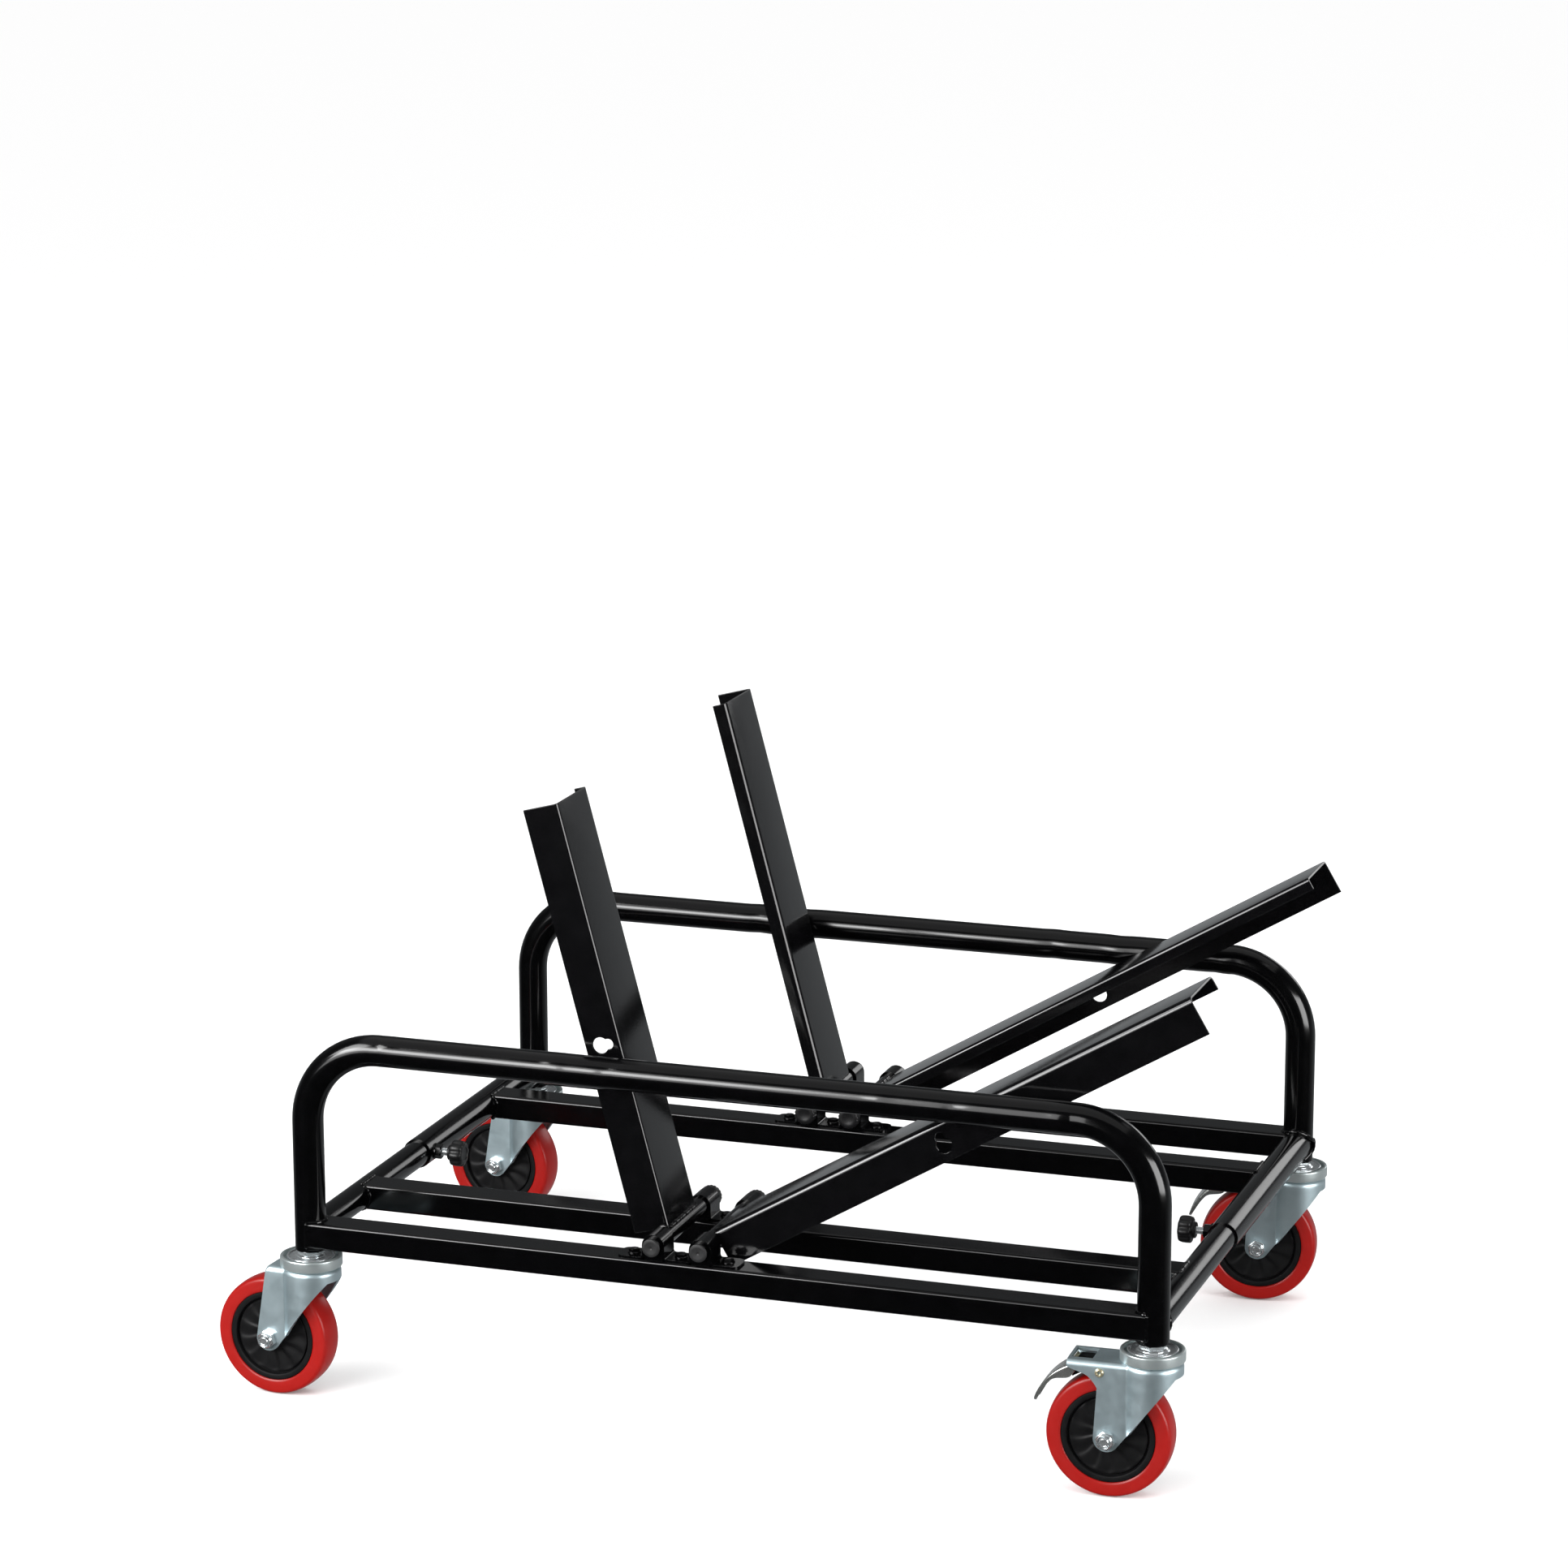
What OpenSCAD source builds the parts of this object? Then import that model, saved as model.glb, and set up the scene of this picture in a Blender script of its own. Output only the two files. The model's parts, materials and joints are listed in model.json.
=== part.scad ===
// Stacking chair trolley: two hooped side frames joined by clamped telescopic
// tubes, a V cradle of folded sheet arms on pivoting barrels, and four casters.
// X runs along the rails, Y across the trolley and Z up from the floor.

/* [Side frames] */
// Distance between the two legs of a side frame, axis to axis
leg_span = 886; // [760:1:1000]
// Distance between the two side frames, leg axis to leg axis
frame_span = 614; // [570:1:680]
// Outside diameter of the hoop tube
tube_d = 32; // [30:0.5:34]
// Wall of the hoop tube
tube_wall = 2; // [1.5:0.1:2.5]
// Radius of the hoop's bends, on the tube axis
hoop_bend_r = 80; // [50:1:110]
// Height of the hoop's bar over the rails' top, to the tube axis
hoop_rise = 185; // [150:1:240]
// Length of leg below the rails
leg_drop = 5; // [3:0.5:12]

/* [Rails] */
// Height of the rails' top over the floor
rail_top = 190; // [188:0.5:205]
// Width of a rail
rail_w = 34; // [33:0.5:38]
// Height of a rail
rail_h = 27; // [24:0.5:28]
// Wall of a rail
rail_wall = 2; // [1.5:0.1:2.5]
// Outside corner radius of a rail
rail_corner_r = 3; // [2.6:0.1:4]
// Distance between the outer and the inner rail, middle to middle
rail_gap = 136; // [132:0.5:150]

/* [Width adjustment] */
// Outside diameter of the sliding end tubes
slide_d = 28; // [26.5:0.1:28.4]
// Wall of the sliding end tubes
slide_wall = 2; // [1.5:0.1:2.5]
// Outside diameter of the end sleeves
sleeve_d = 32; // [31:0.5:34]
// Distance of a sleeve's mouth past the middle of the trolley
sleeve_mouth = 31; // [10:1:60]
// Gap between a sliding tube's end and the far inner rail
slide_end_gap = 4; // [2:0.5:30]

/* [Clamp knobs] */
// Diameter of a knob
knob_d = 29; // [24:0.5:34]
// Length of a knob
knob_len = 18; // [12:0.5:24]
// Number of flutes round a knob
knob_flutes = 8; // [6:1:10]
// Diameter of a knob's threaded stud
stud_d = 8; // [6:0.5:9]
// Length of stud between the nut and the knob
stud_show = 8; // [4:0.5:14]
// Width across flats of a clamp nut
clamp_nut_af = 14; // [13:0.5:17]
// Thickness of a clamp nut
clamp_nut_t = 7; // [5:0.5:9]
// Distance of a clamp stud from the sleeve's mouth
stud_inset = 15; // [12:0.5:25]

/* [Cradle arms] */
// Width of an arm's web, which the load rests on
arm_web = 80.5; // [60:0.5:84]
// Depth of an arm's outer flange
arm_flange = 37.5; // [30:0.5:42]
// Depth of an arm's inner lip
arm_lip = 13; // [8:0.5:20]
// Sheet thickness of the arms
arm_t = 2.5; // [1.5:0.1:3]
// Outside radius of the folds
arm_fold_r = 4; // [3.2:0.1:5]
// Length of a seat arm
seat_arm_len = 559; // [450:1:600]
// Length of a back arm
back_arm_len = 441; // [380:1:520]
// Rise of a seat arm above level, in degrees
seat_arm_rise = 30.5; // [20:0.5:40]
// Lean of a back arm behind upright, in degrees
back_arm_lean = 15; // [5:0.5:25]
// Distance of the web's face from the pivot axis
web_offset = 6; // [4:0.1:8]
// Distance of an arm's end from the pivot axis
arm_foot = 7.5; // [5:0.1:9]
// Gap between an arm's flange and the outer rail
arm_rail_gap = 4.2; // [3:0.1:8]

/* [Keyholes] */
// Diameter of a keyhole's round end
keyhole_d = 16.6; // [12:0.1:18]
// Width of a keyhole's narrow end
keyhole_slot = 10.6; // [6:0.1:11]
// Distance between a keyhole's two centres
keyhole_pitch = 8.4; // [6:0.1:10]
// Distance of the narrow end's centre from the web's face
keyhole_inset = 13; // [11:0.1:16]
// Distance of the back arm's keyhole from the pivot axis
back_keyhole_at = 202; // [120:1:300]
// Distance of the seat arm's keyhole from the pivot axis
seat_keyhole_at = 271; // [120:1:400]

/* [Pivots] */
// Outside diameter of a pivot barrel
barrel_d = 19; // [17:0.5:21]
// Wall of a pivot barrel
barrel_wall = 2.5; // [2:0.1:3]
// Height of the barrels' axes over the rails' top
barrel_rise = 15; // [13:0.5:18]
// Distance between the two pivot axes
pivot_gap = 49.5; // [44:0.5:60]
// Distance of the pivots' middle behind the middle of the side frame
pivot_back = 40.5; // [0:0.5:80]
// Distance of a barrel's outer end past the outer rail
barrel_out = 2; // [1:0.5:5]
// Distance of a barrel's inner end past the inner rail
barrel_in = 5; // [3:0.5:10]
// Diameter of the plain plug in a barrel's outer end
plug_d = 17.2; // [15.5:0.1:18.5]
// Diameter of the ribbed cap on a barrel's inner end
rib_cap_d = 23; // [22.4:0.1:26]
// Number of grooves round a ribbed cap
rib_cap_grooves = 18; // [12:1:24]

/* [Saddles] */
// Sheet thickness of the saddle straps
strap_t = 2.3; // [1.5:0.1:3]
// Width of the saddle straps
strap_w = 28; // [20:0.5:32]
// Distance of an end bolt from its barrel
strap_bolt_at = 25; // [22:0.5:32]
// Length of strap past an end bolt
strap_ear = 14; // [9:0.5:18]
// Diameter of the saddle bolts
bolt_d = 6; // [5:0.5:8]
// Width across flats of the saddle bolts' heads
bolt_head_af = 10; // [8:0.5:11]
// Height of the saddle bolts' heads
bolt_head_h = 4; // [3:0.5:6]
// Length of a saddle bolt's shank
bolt_len = 16; // [10:0.5:18]

/* [Wheels] */
// Diameter of a wheel
wheel_d = 126; // [118:0.5:127]
// Width of a wheel
wheel_w = 32; // [26:0.5:34]
// Radius of a tyre's shoulders
tyre_shoulder_r = 6; // [3:0.5:9]
// Diameter of a wheel hub
hub_d = 94; // [80:0.5:100]
// Diameter of the groove in a hub's face
hub_groove_d = 82; // [70:0.5:84]
// Width of the groove in a hub's face
hub_groove_w = 2.4; // [1.5:0.1:4]
// Depth of a hub's dished face below its rim
hub_dish = 2.5; // [1:0.1:5]
// Diameter of the raised boss of a hub
hub_boss_d = 26; // [22:0.5:34]
// Diameter of a wheel's axle bolt
axle_d = 10; // [8:0.5:12]
// Outside diameter of the bush on an axle
bush_d = 14; // [13:0.5:16]
// Width across flats of an axle's nut and head
axle_af = 17; // [15:0.5:19]
// Thickness of an axle's nut
axle_nut_t = 9.5; // [7:0.5:12]
// Thickness of an axle bolt's head
axle_head_t = 7; // [5:0.5:10]
// Length of bolt standing out of its nut
axle_tail = 1.4; // [0.5:0.1:4]

/* [Caster forks] */
// Distance of the axle behind the swivel axis
trail = 40; // [30:0.5:44]
// Height of a fork's top plate
fork_top = 141; // [138:0.5:143]
// Sheet thickness of a fork
fork_t = 3; // [2:0.1:4]
// Gap between a wheel and its fork
fork_gap = 4; // [2.5:0.1:6]
// Radius of a fork's foot round the axle
fork_foot_r = 13; // [11:0.5:16]
// Distance of a fork's back edge behind the swivel axis, at the top
fork_back = 41.5; // [38:0.5:46]
// Slope of a fork's front edge, in degrees
fork_slope = 52.4; // [48:0.2:56]
// Diameter of a fork's neck
neck_d = 61; // [56:0.5:63]
// Height of the neck's front edge
neck_low = 128; // [124:0.5:134]
// Diameter of the raceway cap
cap_d = 64; // [62:0.5:70]
// Height of the raceway cap
cap_h = 11.5; // [9:0.5:13]
// Diameter of the recess in the raceway cap
cap_recess_d = 52; // [44:0.5:56]
// Depth of the recess in the raceway cap
cap_recess = 4; // [3:0.1:6]
// Diameter of a caster's stem and kingpin
stem_d = 12; // [10:0.5:14]
// Width across flats of a stem's collar
collar_af = 24; // [19:0.5:27]
// Length of the insert in a leg
insert_len = 30; // [20:1:45]

/* [Brakes] */
// Reach of the brake hood behind the swivel axis
hood_reach = 80; // [74:0.5:86]
// Width of the window in the hood
hood_window_w = 28; // [20:0.5:34]
// Length of the window in the hood
hood_window_len = 21; // [14:0.5:24]
// Distance of the pedal's pivot behind the swivel axis
pedal_pivot_back = 47.5; // [45:0.5:50]
// Distance of the pedal's pivot below the fork's top
pedal_pivot_drop = 11; // [9:0.5:13]
// Width of the pedal
pedal_w = 32; // [22:0.5:36]
// Sheet thickness of the pedal
pedal_t = 2.2; // [1.5:0.1:3]
// Distance of the pedal's tip behind the swivel axis
pedal_tip_back = 116; // [105:0.5:122]
// Height of the pedal's tip
pedal_tip_z = 91; // [84:0.5:100]
// Diameter of the pedal's pivot rivet
rivet_d = 6; // [5:0.5:7]
// Gap between the brake pad and the tyre
pad_gap = 4.5; // [4:0.1:6]
// Length of the brake pad
pad_len = 20; // [14:0.5:24]
// Distance of the brake pad's middle behind the swivel axis
pad_back = 72; // [66:0.5:72]

/* [Swivel angles] */
// Turn of the near left caster, in degrees
near_left_swivel = -4; // [-20:0.5:20]
// Turn of the near right caster, in degrees
near_right_swivel = 2; // [-20:0.5:20]
// Turn of the far left caster, in degrees
far_left_swivel = -5.5; // [-20:0.5:20]
// Turn of the far right caster, in degrees
far_right_swivel = 8; // [-20:0.5:20]

/* [Hidden] */
$fn = 72;

// Fits: running clearance of a turning or sliding piece, gap at a welded seat,
// gap round a loose piece, and the overrun of every cut
run_fit = 0.06;
seat_gap = 0.03;
loose_gap = 0.3;
cut = 2;

// Sides of the trolley
NEAR = -1;
FAR = 1;
LEFT = -1;
RIGHT = 1;

// Casters: near left, near right, far left, far right
swivels = [near_left_swivel, near_right_swivel, far_left_swivel, far_right_swivel];

black_paint = [0.05, 0.05, 0.06];
black_plastic = [0.09, 0.09, 0.10];
grey_plastic = [0.20, 0.20, 0.21];
zinc = [0.68, 0.71, 0.74];
tyre_red = [0.80, 0.08, 0.06];

// Heights and offsets worked out from the sizes above
tube_r = tube_d / 2;
bar_z = rail_top + hoop_rise;
leg_low = rail_top - rail_h - leg_drop;
rail_mid = rail_top - rail_h / 2;
outer_y = frame_span / 2;
inner_y = outer_y - rail_gap;
slide_end = inner_y - rail_w / 2 - slide_end_gap;
sleeve_bore_r = slide_d / 2 + run_fit;
axle_z = wheel_d / 2;
cap_top = fork_top + cap_h;

// Reach of the trolley each way from the middle of the side frames, so that
// the frame's middle stands where the whole trolley's middle is the origin
left_reach = leg_span / 2 + trail + wheel_d / 2;
right_reach = pivot_gap / 2 - pivot_back + (arm_foot + seat_arm_len) * cos(seat_arm_rise)
    + (arm_flange - web_offset) * sin(seat_arm_rise);
frame_x = (left_reach - right_reach) / 2;

function leg_x(side) = frame_x + side * leg_span / 2;
back_pivot_x = frame_x - pivot_back - pivot_gap / 2;
seat_pivot_x = frame_x - pivot_back + pivot_gap / 2;
pivot_z = rail_top + barrel_rise;
barrel_bore_r = barrel_d / 2 + run_fit;

// Saddle bolts along a rail: one past each barrel and one between them
saddle_bolt_x = [
    back_pivot_x - strap_bolt_at,
    (back_pivot_x + seat_pivot_x) / 2,
    seat_pivot_x + strap_bolt_at
];
bolt_hole_d = bolt_d + 2 * loose_gap;

// Height of a saddle block as a share of the barrels' height over the rail
block_height_share = 0.8;

// Knob along its own axis, measured from the sleeve's axis
knob_from = sleeve_d / 2 + clamp_nut_t + stud_show;
stud_y = stud_inset - sleeve_mouth;

// Shares of a knob's diameter and length taken by its waist and flutes
knob_waist_share = 0.6;
knob_waist_len_share = 0.25;
flute_share = 0.24;
flute_set_share = 0.2;

// Fork: faces of its two legs and the place where they flare to the neck
fork_in = wheel_w / 2 + fork_gap;
fork_out = fork_in + fork_t;
neck_r = neck_d / 2;
fork_crease_share = 0.55;
flare_share = 0.2;
fork_crease = trail * fork_crease_share;
flare_x = neck_r * flare_share;

// Raceway: rounded edge of the cap, gap round the plate, head of the kingpin
cap_edge_share = 0.7;
raceway_gap = 1;
kingpin_head_share = 2;

// Step from a tyre's side to the hub's rim
hub_rim_inset = 1;

// Brake: corners of the hood's cheek, bow of the tongue, ears and rivet heads
cheek_shares = [0.7, 0.25];
cheek_root_share = 0.37;
pedal_z = fork_top - pedal_pivot_drop;
pedal_plate_z = pedal_z + rivet_d / 2;
tongue_bow_share = 0.1;
pedal_ear_share = 1.5;
rivet_head_share = 1.5;
rivet_head_t_share = 0.6;
pad_w_share = 0.7;

// Turns and moves its children to the side of the trolley
module side(s) {
    mirror([0, s < 0 ? 1 : 0, 0]) children();
}

// Bar of any outline along X, Y or Z, with its middle at the origin
module along_x(len) {
    rotate([90, 0, 90]) linear_extrude(len, center = true) children();
}

module along_y(len) {
    rotate([90, 0, 0]) linear_extrude(len, center = true) children();
}

module rod_x(d, from, to) {
    translate([from, 0, 0]) rotate([0, 90, 0]) cylinder(d = d, h = to - from);
}

module rod_y(d, from, to) {
    translate([0, from, 0]) rotate([-90, 0, 0]) cylinder(d = d, h = to - from);
}

module hex(af, h) {
    cylinder(d = af / cos(30), h = h, $fn = 6);
}

module rounded_rect(w, h, r) {
    square([w - 2 * r, h], center = true);
    square([w, h - 2 * r], center = true);
    for (x = [-1, 1], y = [-1, 1])
        translate([x * (w / 2 - r), y * (h / 2 - r)]) circle(r);
}

// Side frame

// Solid of the hoop's path: two legs, two bends and the bar
module hoop_path(r, low) {
    for (s = [LEFT, RIGHT]) {
        translate([s * leg_span / 2, 0, low]) cylinder(r = r, h = bar_z - hoop_bend_r - low);
        translate([s * (leg_span / 2 - hoop_bend_r), 0, bar_z - hoop_bend_r])
            mirror([s < 0 ? 1 : 0, 0, 0])
                rotate([90, 0, 0]) rotate_extrude(angle = 90) translate([hoop_bend_r, 0]) circle(r);
    }
    translate([0, 0, bar_z])
        rod_x(2 * r, hoop_bend_r - leg_span / 2, leg_span / 2 - hoop_bend_r);
}

module hoop(s) {
    color(black_paint) translate([frame_x, s * outer_y, 0]) difference() {
        hoop_path(tube_r, leg_low);
        hoop_path(tube_r - tube_wall, leg_low - cut);
    }
}

module leg_bores(r) {
    for (s = [LEFT, RIGHT])
        translate([leg_x(s), outer_y, 0]) cylinder(r = r, h = bar_z);
}

module rail_tube(len) {
    along_x(len) difference() {
        rounded_rect(rail_w, rail_h, rail_corner_r);
        rounded_rect(rail_w - 2 * rail_wall, rail_h - 2 * rail_wall, rail_corner_r - rail_wall);
    }
}

module saddle_bolt_holes(y) {
    for (x = saddle_bolt_x)
        translate([x, y, rail_mid]) cylinder(d = bolt_hole_d, h = rail_h);
}

// Room for the two end tubes at a rail, between two distances across it
module end_tube_room(d, y, from, to) {
    for (x = [leg_x(LEFT), leg_x(RIGHT)])
        translate([x, y, rail_mid]) rod_y(d + 2 * seat_gap, from, to);
}

// The outer rail runs between the legs and end tubes, which its ends are cut to fit
module outer_rail(s, end_tube_d) {
    color(black_paint) side(s) difference() {
        translate([frame_x, outer_y, rail_mid]) rail_tube(leg_span - 2 * rail_wall);
        leg_bores(tube_r + seat_gap);
        end_tube_room(end_tube_d, outer_y, -rail_w, 0);
        saddle_bolt_holes(outer_y);
    }
}

// The inner rail runs between the end tubes, which its ends are cut to fit
module inner_rail(s, end_tube_d) {
    color(black_paint) side(s) difference() {
        translate([frame_x, inner_y, rail_mid]) rail_tube(leg_span - 2 * rail_wall);
        end_tube_room(end_tube_d, inner_y, -rail_w, rail_w);
        saddle_bolt_holes(inner_y);
    }
}

// Width adjustment

module slide_tube(s) {
    color(black_paint) difference() {
        translate([leg_x(s), 0, rail_mid]) rod_y(slide_d, -outer_y, slide_end);
        translate([leg_x(s), 0, rail_mid]) rod_y(slide_d - 2 * slide_wall, -outer_y - cut, slide_end + cut);
        side(NEAR) leg_bores(tube_r + seat_gap);
    }
}

module sleeve(s) {
    color(black_paint) difference() {
        translate([leg_x(s), 0, rail_mid]) rod_y(sleeve_d, -sleeve_mouth, outer_y);
        translate([leg_x(s), 0, rail_mid]) rod_y(2 * sleeve_bore_r, -sleeve_mouth - cut, outer_y + cut);
        leg_bores(tube_r + seat_gap);
        knob_place(s) rod_x(stud_d + 2 * loose_gap, 0, sleeve_d);
    }
}

// Puts its children on a clamp stud's axis, with X pointing inward
module knob_place(s) {
    translate([leg_x(s), stud_y, rail_mid]) mirror([s > 0 ? 1 : 0, 0, 0]) children();
}

module far_clamp_nuts() {
    color(black_paint) for (s = [LEFT, RIGHT]) difference() {
        knob_place(s) rotate([0, 90, 0]) hex(clamp_nut_af, sleeve_d / 2 + clamp_nut_t);
        knob_place(s) rod_y(sleeve_d + 2 * seat_gap, -sleeve_d, sleeve_d);
        knob_place(s) rod_x(stud_d + 2 * run_fit, 0, sleeve_d + clamp_nut_t);
    }
}

// The stud runs from the inner tube to a little inside the knob
module knob_stud(s) {
    color(zinc) knob_place(s)
        rod_x(stud_d, slide_d / 2 + loose_gap, knob_from + knob_len / 2);
}

module knob(s) {
    flute_d = knob_d * flute_share;
    waist_len = knob_len * knob_waist_len_share;
    color(black_plastic) knob_place(s) difference() {
        union() {
            rod_x(knob_d * knob_waist_share, knob_from, knob_from + knob_len);
            rod_x(knob_d, knob_from + waist_len, knob_from + knob_len);
        }
        for (i = [0 : knob_flutes - 1]) rotate([i * 360 / knob_flutes, 0, 0])
            translate([0, 0, knob_d / 2 + flute_d * flute_set_share])
                rod_x(flute_d, knob_from, knob_from + knob_len + cut);
        rod_x(stud_d, knob_from - cut, knob_from + knob_len / 2);
    }
}

// Saddles that hold the barrels on the rails

// Blocks that the barrels lie on, cut off below the barrels' widest line
module saddle_blocks(s) {
    color(black_paint) side(s) for (y = [outer_y, inner_y], x = [back_pivot_x, seat_pivot_x])
        translate([x, y, pivot_z]) along_y(strap_w) difference() {
            translate([-barrel_bore_r, -barrel_rise])
                square([2 * barrel_bore_r, barrel_rise * block_height_share]);
            circle(barrel_bore_r);
        }
}

// Arch of a strap over one barrel, with its two legs down to the rail
module strap_arch() {
    outer_r = barrel_bore_r + strap_t;
    intersection() {
        difference() {
            circle(outer_r);
            circle(barrel_bore_r);
        }
        translate([-outer_r, 0]) square([2 * outer_r, outer_r]);
    }
    translate([-outer_r, -barrel_rise]) square([strap_t, barrel_rise]);
    translate([barrel_bore_r, -barrel_rise]) square([strap_t, barrel_rise]);
}

// One strap bent over both barrels, with three flat ears
module strap_outline() {
    first = saddle_bolt_x[0] - strap_ear;
    last = saddle_bolt_x[2] + strap_ear;
    for (x = [back_pivot_x, seat_pivot_x]) translate([x, pivot_z]) strap_arch();
    translate([first, rail_top]) square([back_pivot_x - barrel_bore_r - first, strap_t]);
    translate([back_pivot_x + barrel_bore_r, rail_top])
        square([pivot_gap - 2 * barrel_bore_r, strap_t]);
    translate([seat_pivot_x + barrel_bore_r, rail_top])
        square([last - seat_pivot_x - barrel_bore_r, strap_t]);
}

module saddle_straps(s) {
    color(black_paint) side(s) for (y = [outer_y, inner_y]) difference() {
        translate([0, y, 0]) along_y(strap_w) strap_outline();
        saddle_bolt_holes(y);
    }
}

module saddle_bolts(s) {
    head_z = rail_top + strap_t;
    color(black_paint) side(s) for (y = [outer_y, inner_y], x = saddle_bolt_x)
        translate([x, y, head_z]) {
            hex(bolt_head_af, bolt_head_h);
            translate([0, 0, -bolt_len]) cylinder(d = bolt_d, h = bolt_len);
        }
}

// Cradle arms

// Puts its children in an arm's own frame: X along the arm, Z out of its web
module back_arm_frame(s) {
    side(s) translate([back_pivot_x, outer_y, pivot_z])
        rotate([0, -90 - back_arm_lean, 0]) mirror([0, 0, 1]) children();
}

module seat_arm_frame(s) {
    side(s) translate([seat_pivot_x, outer_y, pivot_z]) rotate([0, -seat_arm_rise, 0]) children();
}

module fold_corner() {
    intersection() {
        difference() {
            circle(arm_fold_r);
            circle(arm_fold_r - arm_t);
        }
        square(arm_fold_r);
    }
}

// Section of an arm: web on top, deep flange outside, short lip inside
module arm_section() {
    outside = -rail_w / 2 - arm_rail_gap;
    inside = outside - arm_web;
    fold = web_offset - arm_fold_r;
    translate([inside + arm_fold_r, web_offset - arm_t]) square([arm_web - 2 * arm_fold_r, arm_t]);
    translate([outside - arm_t, web_offset - arm_flange]) square([arm_t, arm_flange - arm_fold_r]);
    translate([inside, web_offset - arm_lip]) square([arm_t, arm_lip - arm_fold_r]);
    translate([outside - arm_fold_r, fold]) fold_corner();
    translate([inside + arm_fold_r, fold]) mirror([1, 0]) fold_corner();
}

module keyhole(at) {
    narrow_z = web_offset - keyhole_inset;
    wide_z = narrow_z - keyhole_pitch;
    outside = -rail_w / 2 - arm_rail_gap;
    translate([at, 0, narrow_z]) rod_y(keyhole_slot, outside - arm_t - cut, outside + cut);
    translate([at, 0, wide_z]) rod_y(keyhole_d, outside - arm_t - cut, outside + cut);
    translate([at - keyhole_slot / 2, outside - arm_t - cut, wide_z])
        cube([keyhole_slot, arm_t + 2 * cut, keyhole_pitch]);
}

// The arm's end is cut to seat on its barrel
module arm(len, keyhole_at) {
    color(black_paint) difference() {
        translate([arm_foot, 0, 0]) rotate([90, 0, 90]) linear_extrude(len) arm_section();
        rod_y(barrel_d + 2 * seat_gap, -rail_gap, 0);
        keyhole(keyhole_at);
    }
}

// Barrel along Y, measured from the outer rail's middle
barrel_from = -rail_gap - rail_w / 2 - barrel_in;
barrel_to = rail_w / 2 + barrel_out;
barrel_hole_d = barrel_d - 2 * barrel_wall;

module barrel(s, x) {
    color(black_paint) side(s) translate([x, outer_y, pivot_z]) difference() {
        rod_y(barrel_d, barrel_from, barrel_to);
        rod_y(barrel_hole_d, barrel_from - cut, barrel_to + cut);
    }
}

// Plain plug outside and ribbed cap inside
module barrel_caps(s, x) {
    plug_head = barrel_wall;
    plug_len = barrel_hole_d;
    rib_wall = (rib_cap_d - barrel_d) / 2 - seat_gap;
    groove_d = rib_wall;
    cap_end = barrel_from - rib_wall;
    cap_mouth = -rail_gap - strap_w / 2 - loose_gap;
    color(grey_plastic) side(s) translate([x, outer_y, pivot_z]) {
        rod_y(plug_d, barrel_to, barrel_to + plug_head);
        rod_y(barrel_hole_d - 2 * seat_gap, barrel_to - plug_len, barrel_to);
        difference() {
            rod_y(rib_cap_d, cap_end, cap_mouth);
            rod_y(barrel_d + 2 * seat_gap, barrel_from, cap_mouth + cut);
            for (i = [0 : rib_cap_grooves - 1]) rotate([0, i * 360 / rib_cap_grooves, 0])
                translate([0, 0, rib_cap_d / 2]) rod_y(groove_d, cap_end + rib_wall / 2, cap_mouth + cut);
        }
    }
}

// Casters

// Puts its children under a leg, turned with the caster
module caster(i) {
    translate([leg_x(i % 2 == 0 ? LEFT : RIGHT), (i < 2 ? NEAR : FAR) * outer_y, 0])
        rotate([0, 0, swivels[i]]) children();
}

module leg_inserts(s) {
    color(black_plastic) side(s) for (x = [leg_x(LEFT), leg_x(RIGHT)])
        translate([x, outer_y, leg_low]) difference() {
            cylinder(r = tube_r - tube_wall - seat_gap, h = insert_len);
            translate([0, 0, -cut]) cylinder(d = stem_d + 2 * seat_gap, h = insert_len + 2 * cut);
        }
}

// Stem with hexagon collar, raceway plate and riveted kingpin
module caster_stems(s) {
    plate_low = cap_top - cap_recess + loose_gap;
    plate_t = cap_recess - 2 * loose_gap;
    rivet_top = fork_top - fork_t - loose_gap;
    rivet_t = fork_t;
    collar_low = plate_low + plate_t;
    color(zinc) side(s) for (x = [leg_x(LEFT), leg_x(RIGHT)]) translate([x, outer_y, 0]) {
        translate([0, 0, rivet_top - rivet_t]) cylinder(d = stem_d * kingpin_head_share, h = rivet_t);
        translate([0, 0, rivet_top - rivet_t]) cylinder(d = stem_d, h = leg_low + insert_len - rivet_top);
        translate([0, 0, plate_low]) cylinder(d = cap_recess_d - 2 * raceway_gap, h = plate_t);
        translate([0, 0, collar_low]) hex(collar_af, leg_low - collar_low);
    }
}

// Outline of a fork's wall seen from above, stepped in by inset
module fork_plan(back, inset) {
    half = fork_out - inset;
    r = neck_r - inset;
    flare_y = sqrt(r * r - flare_x * flare_x);
    circle(r);
    polygon([
        [-back, -half], [-fork_crease, -half], [-flare_x, -flare_y],
        [-flare_x, flare_y], [-fork_crease, half], [-back, half]
    ]);
}

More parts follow.
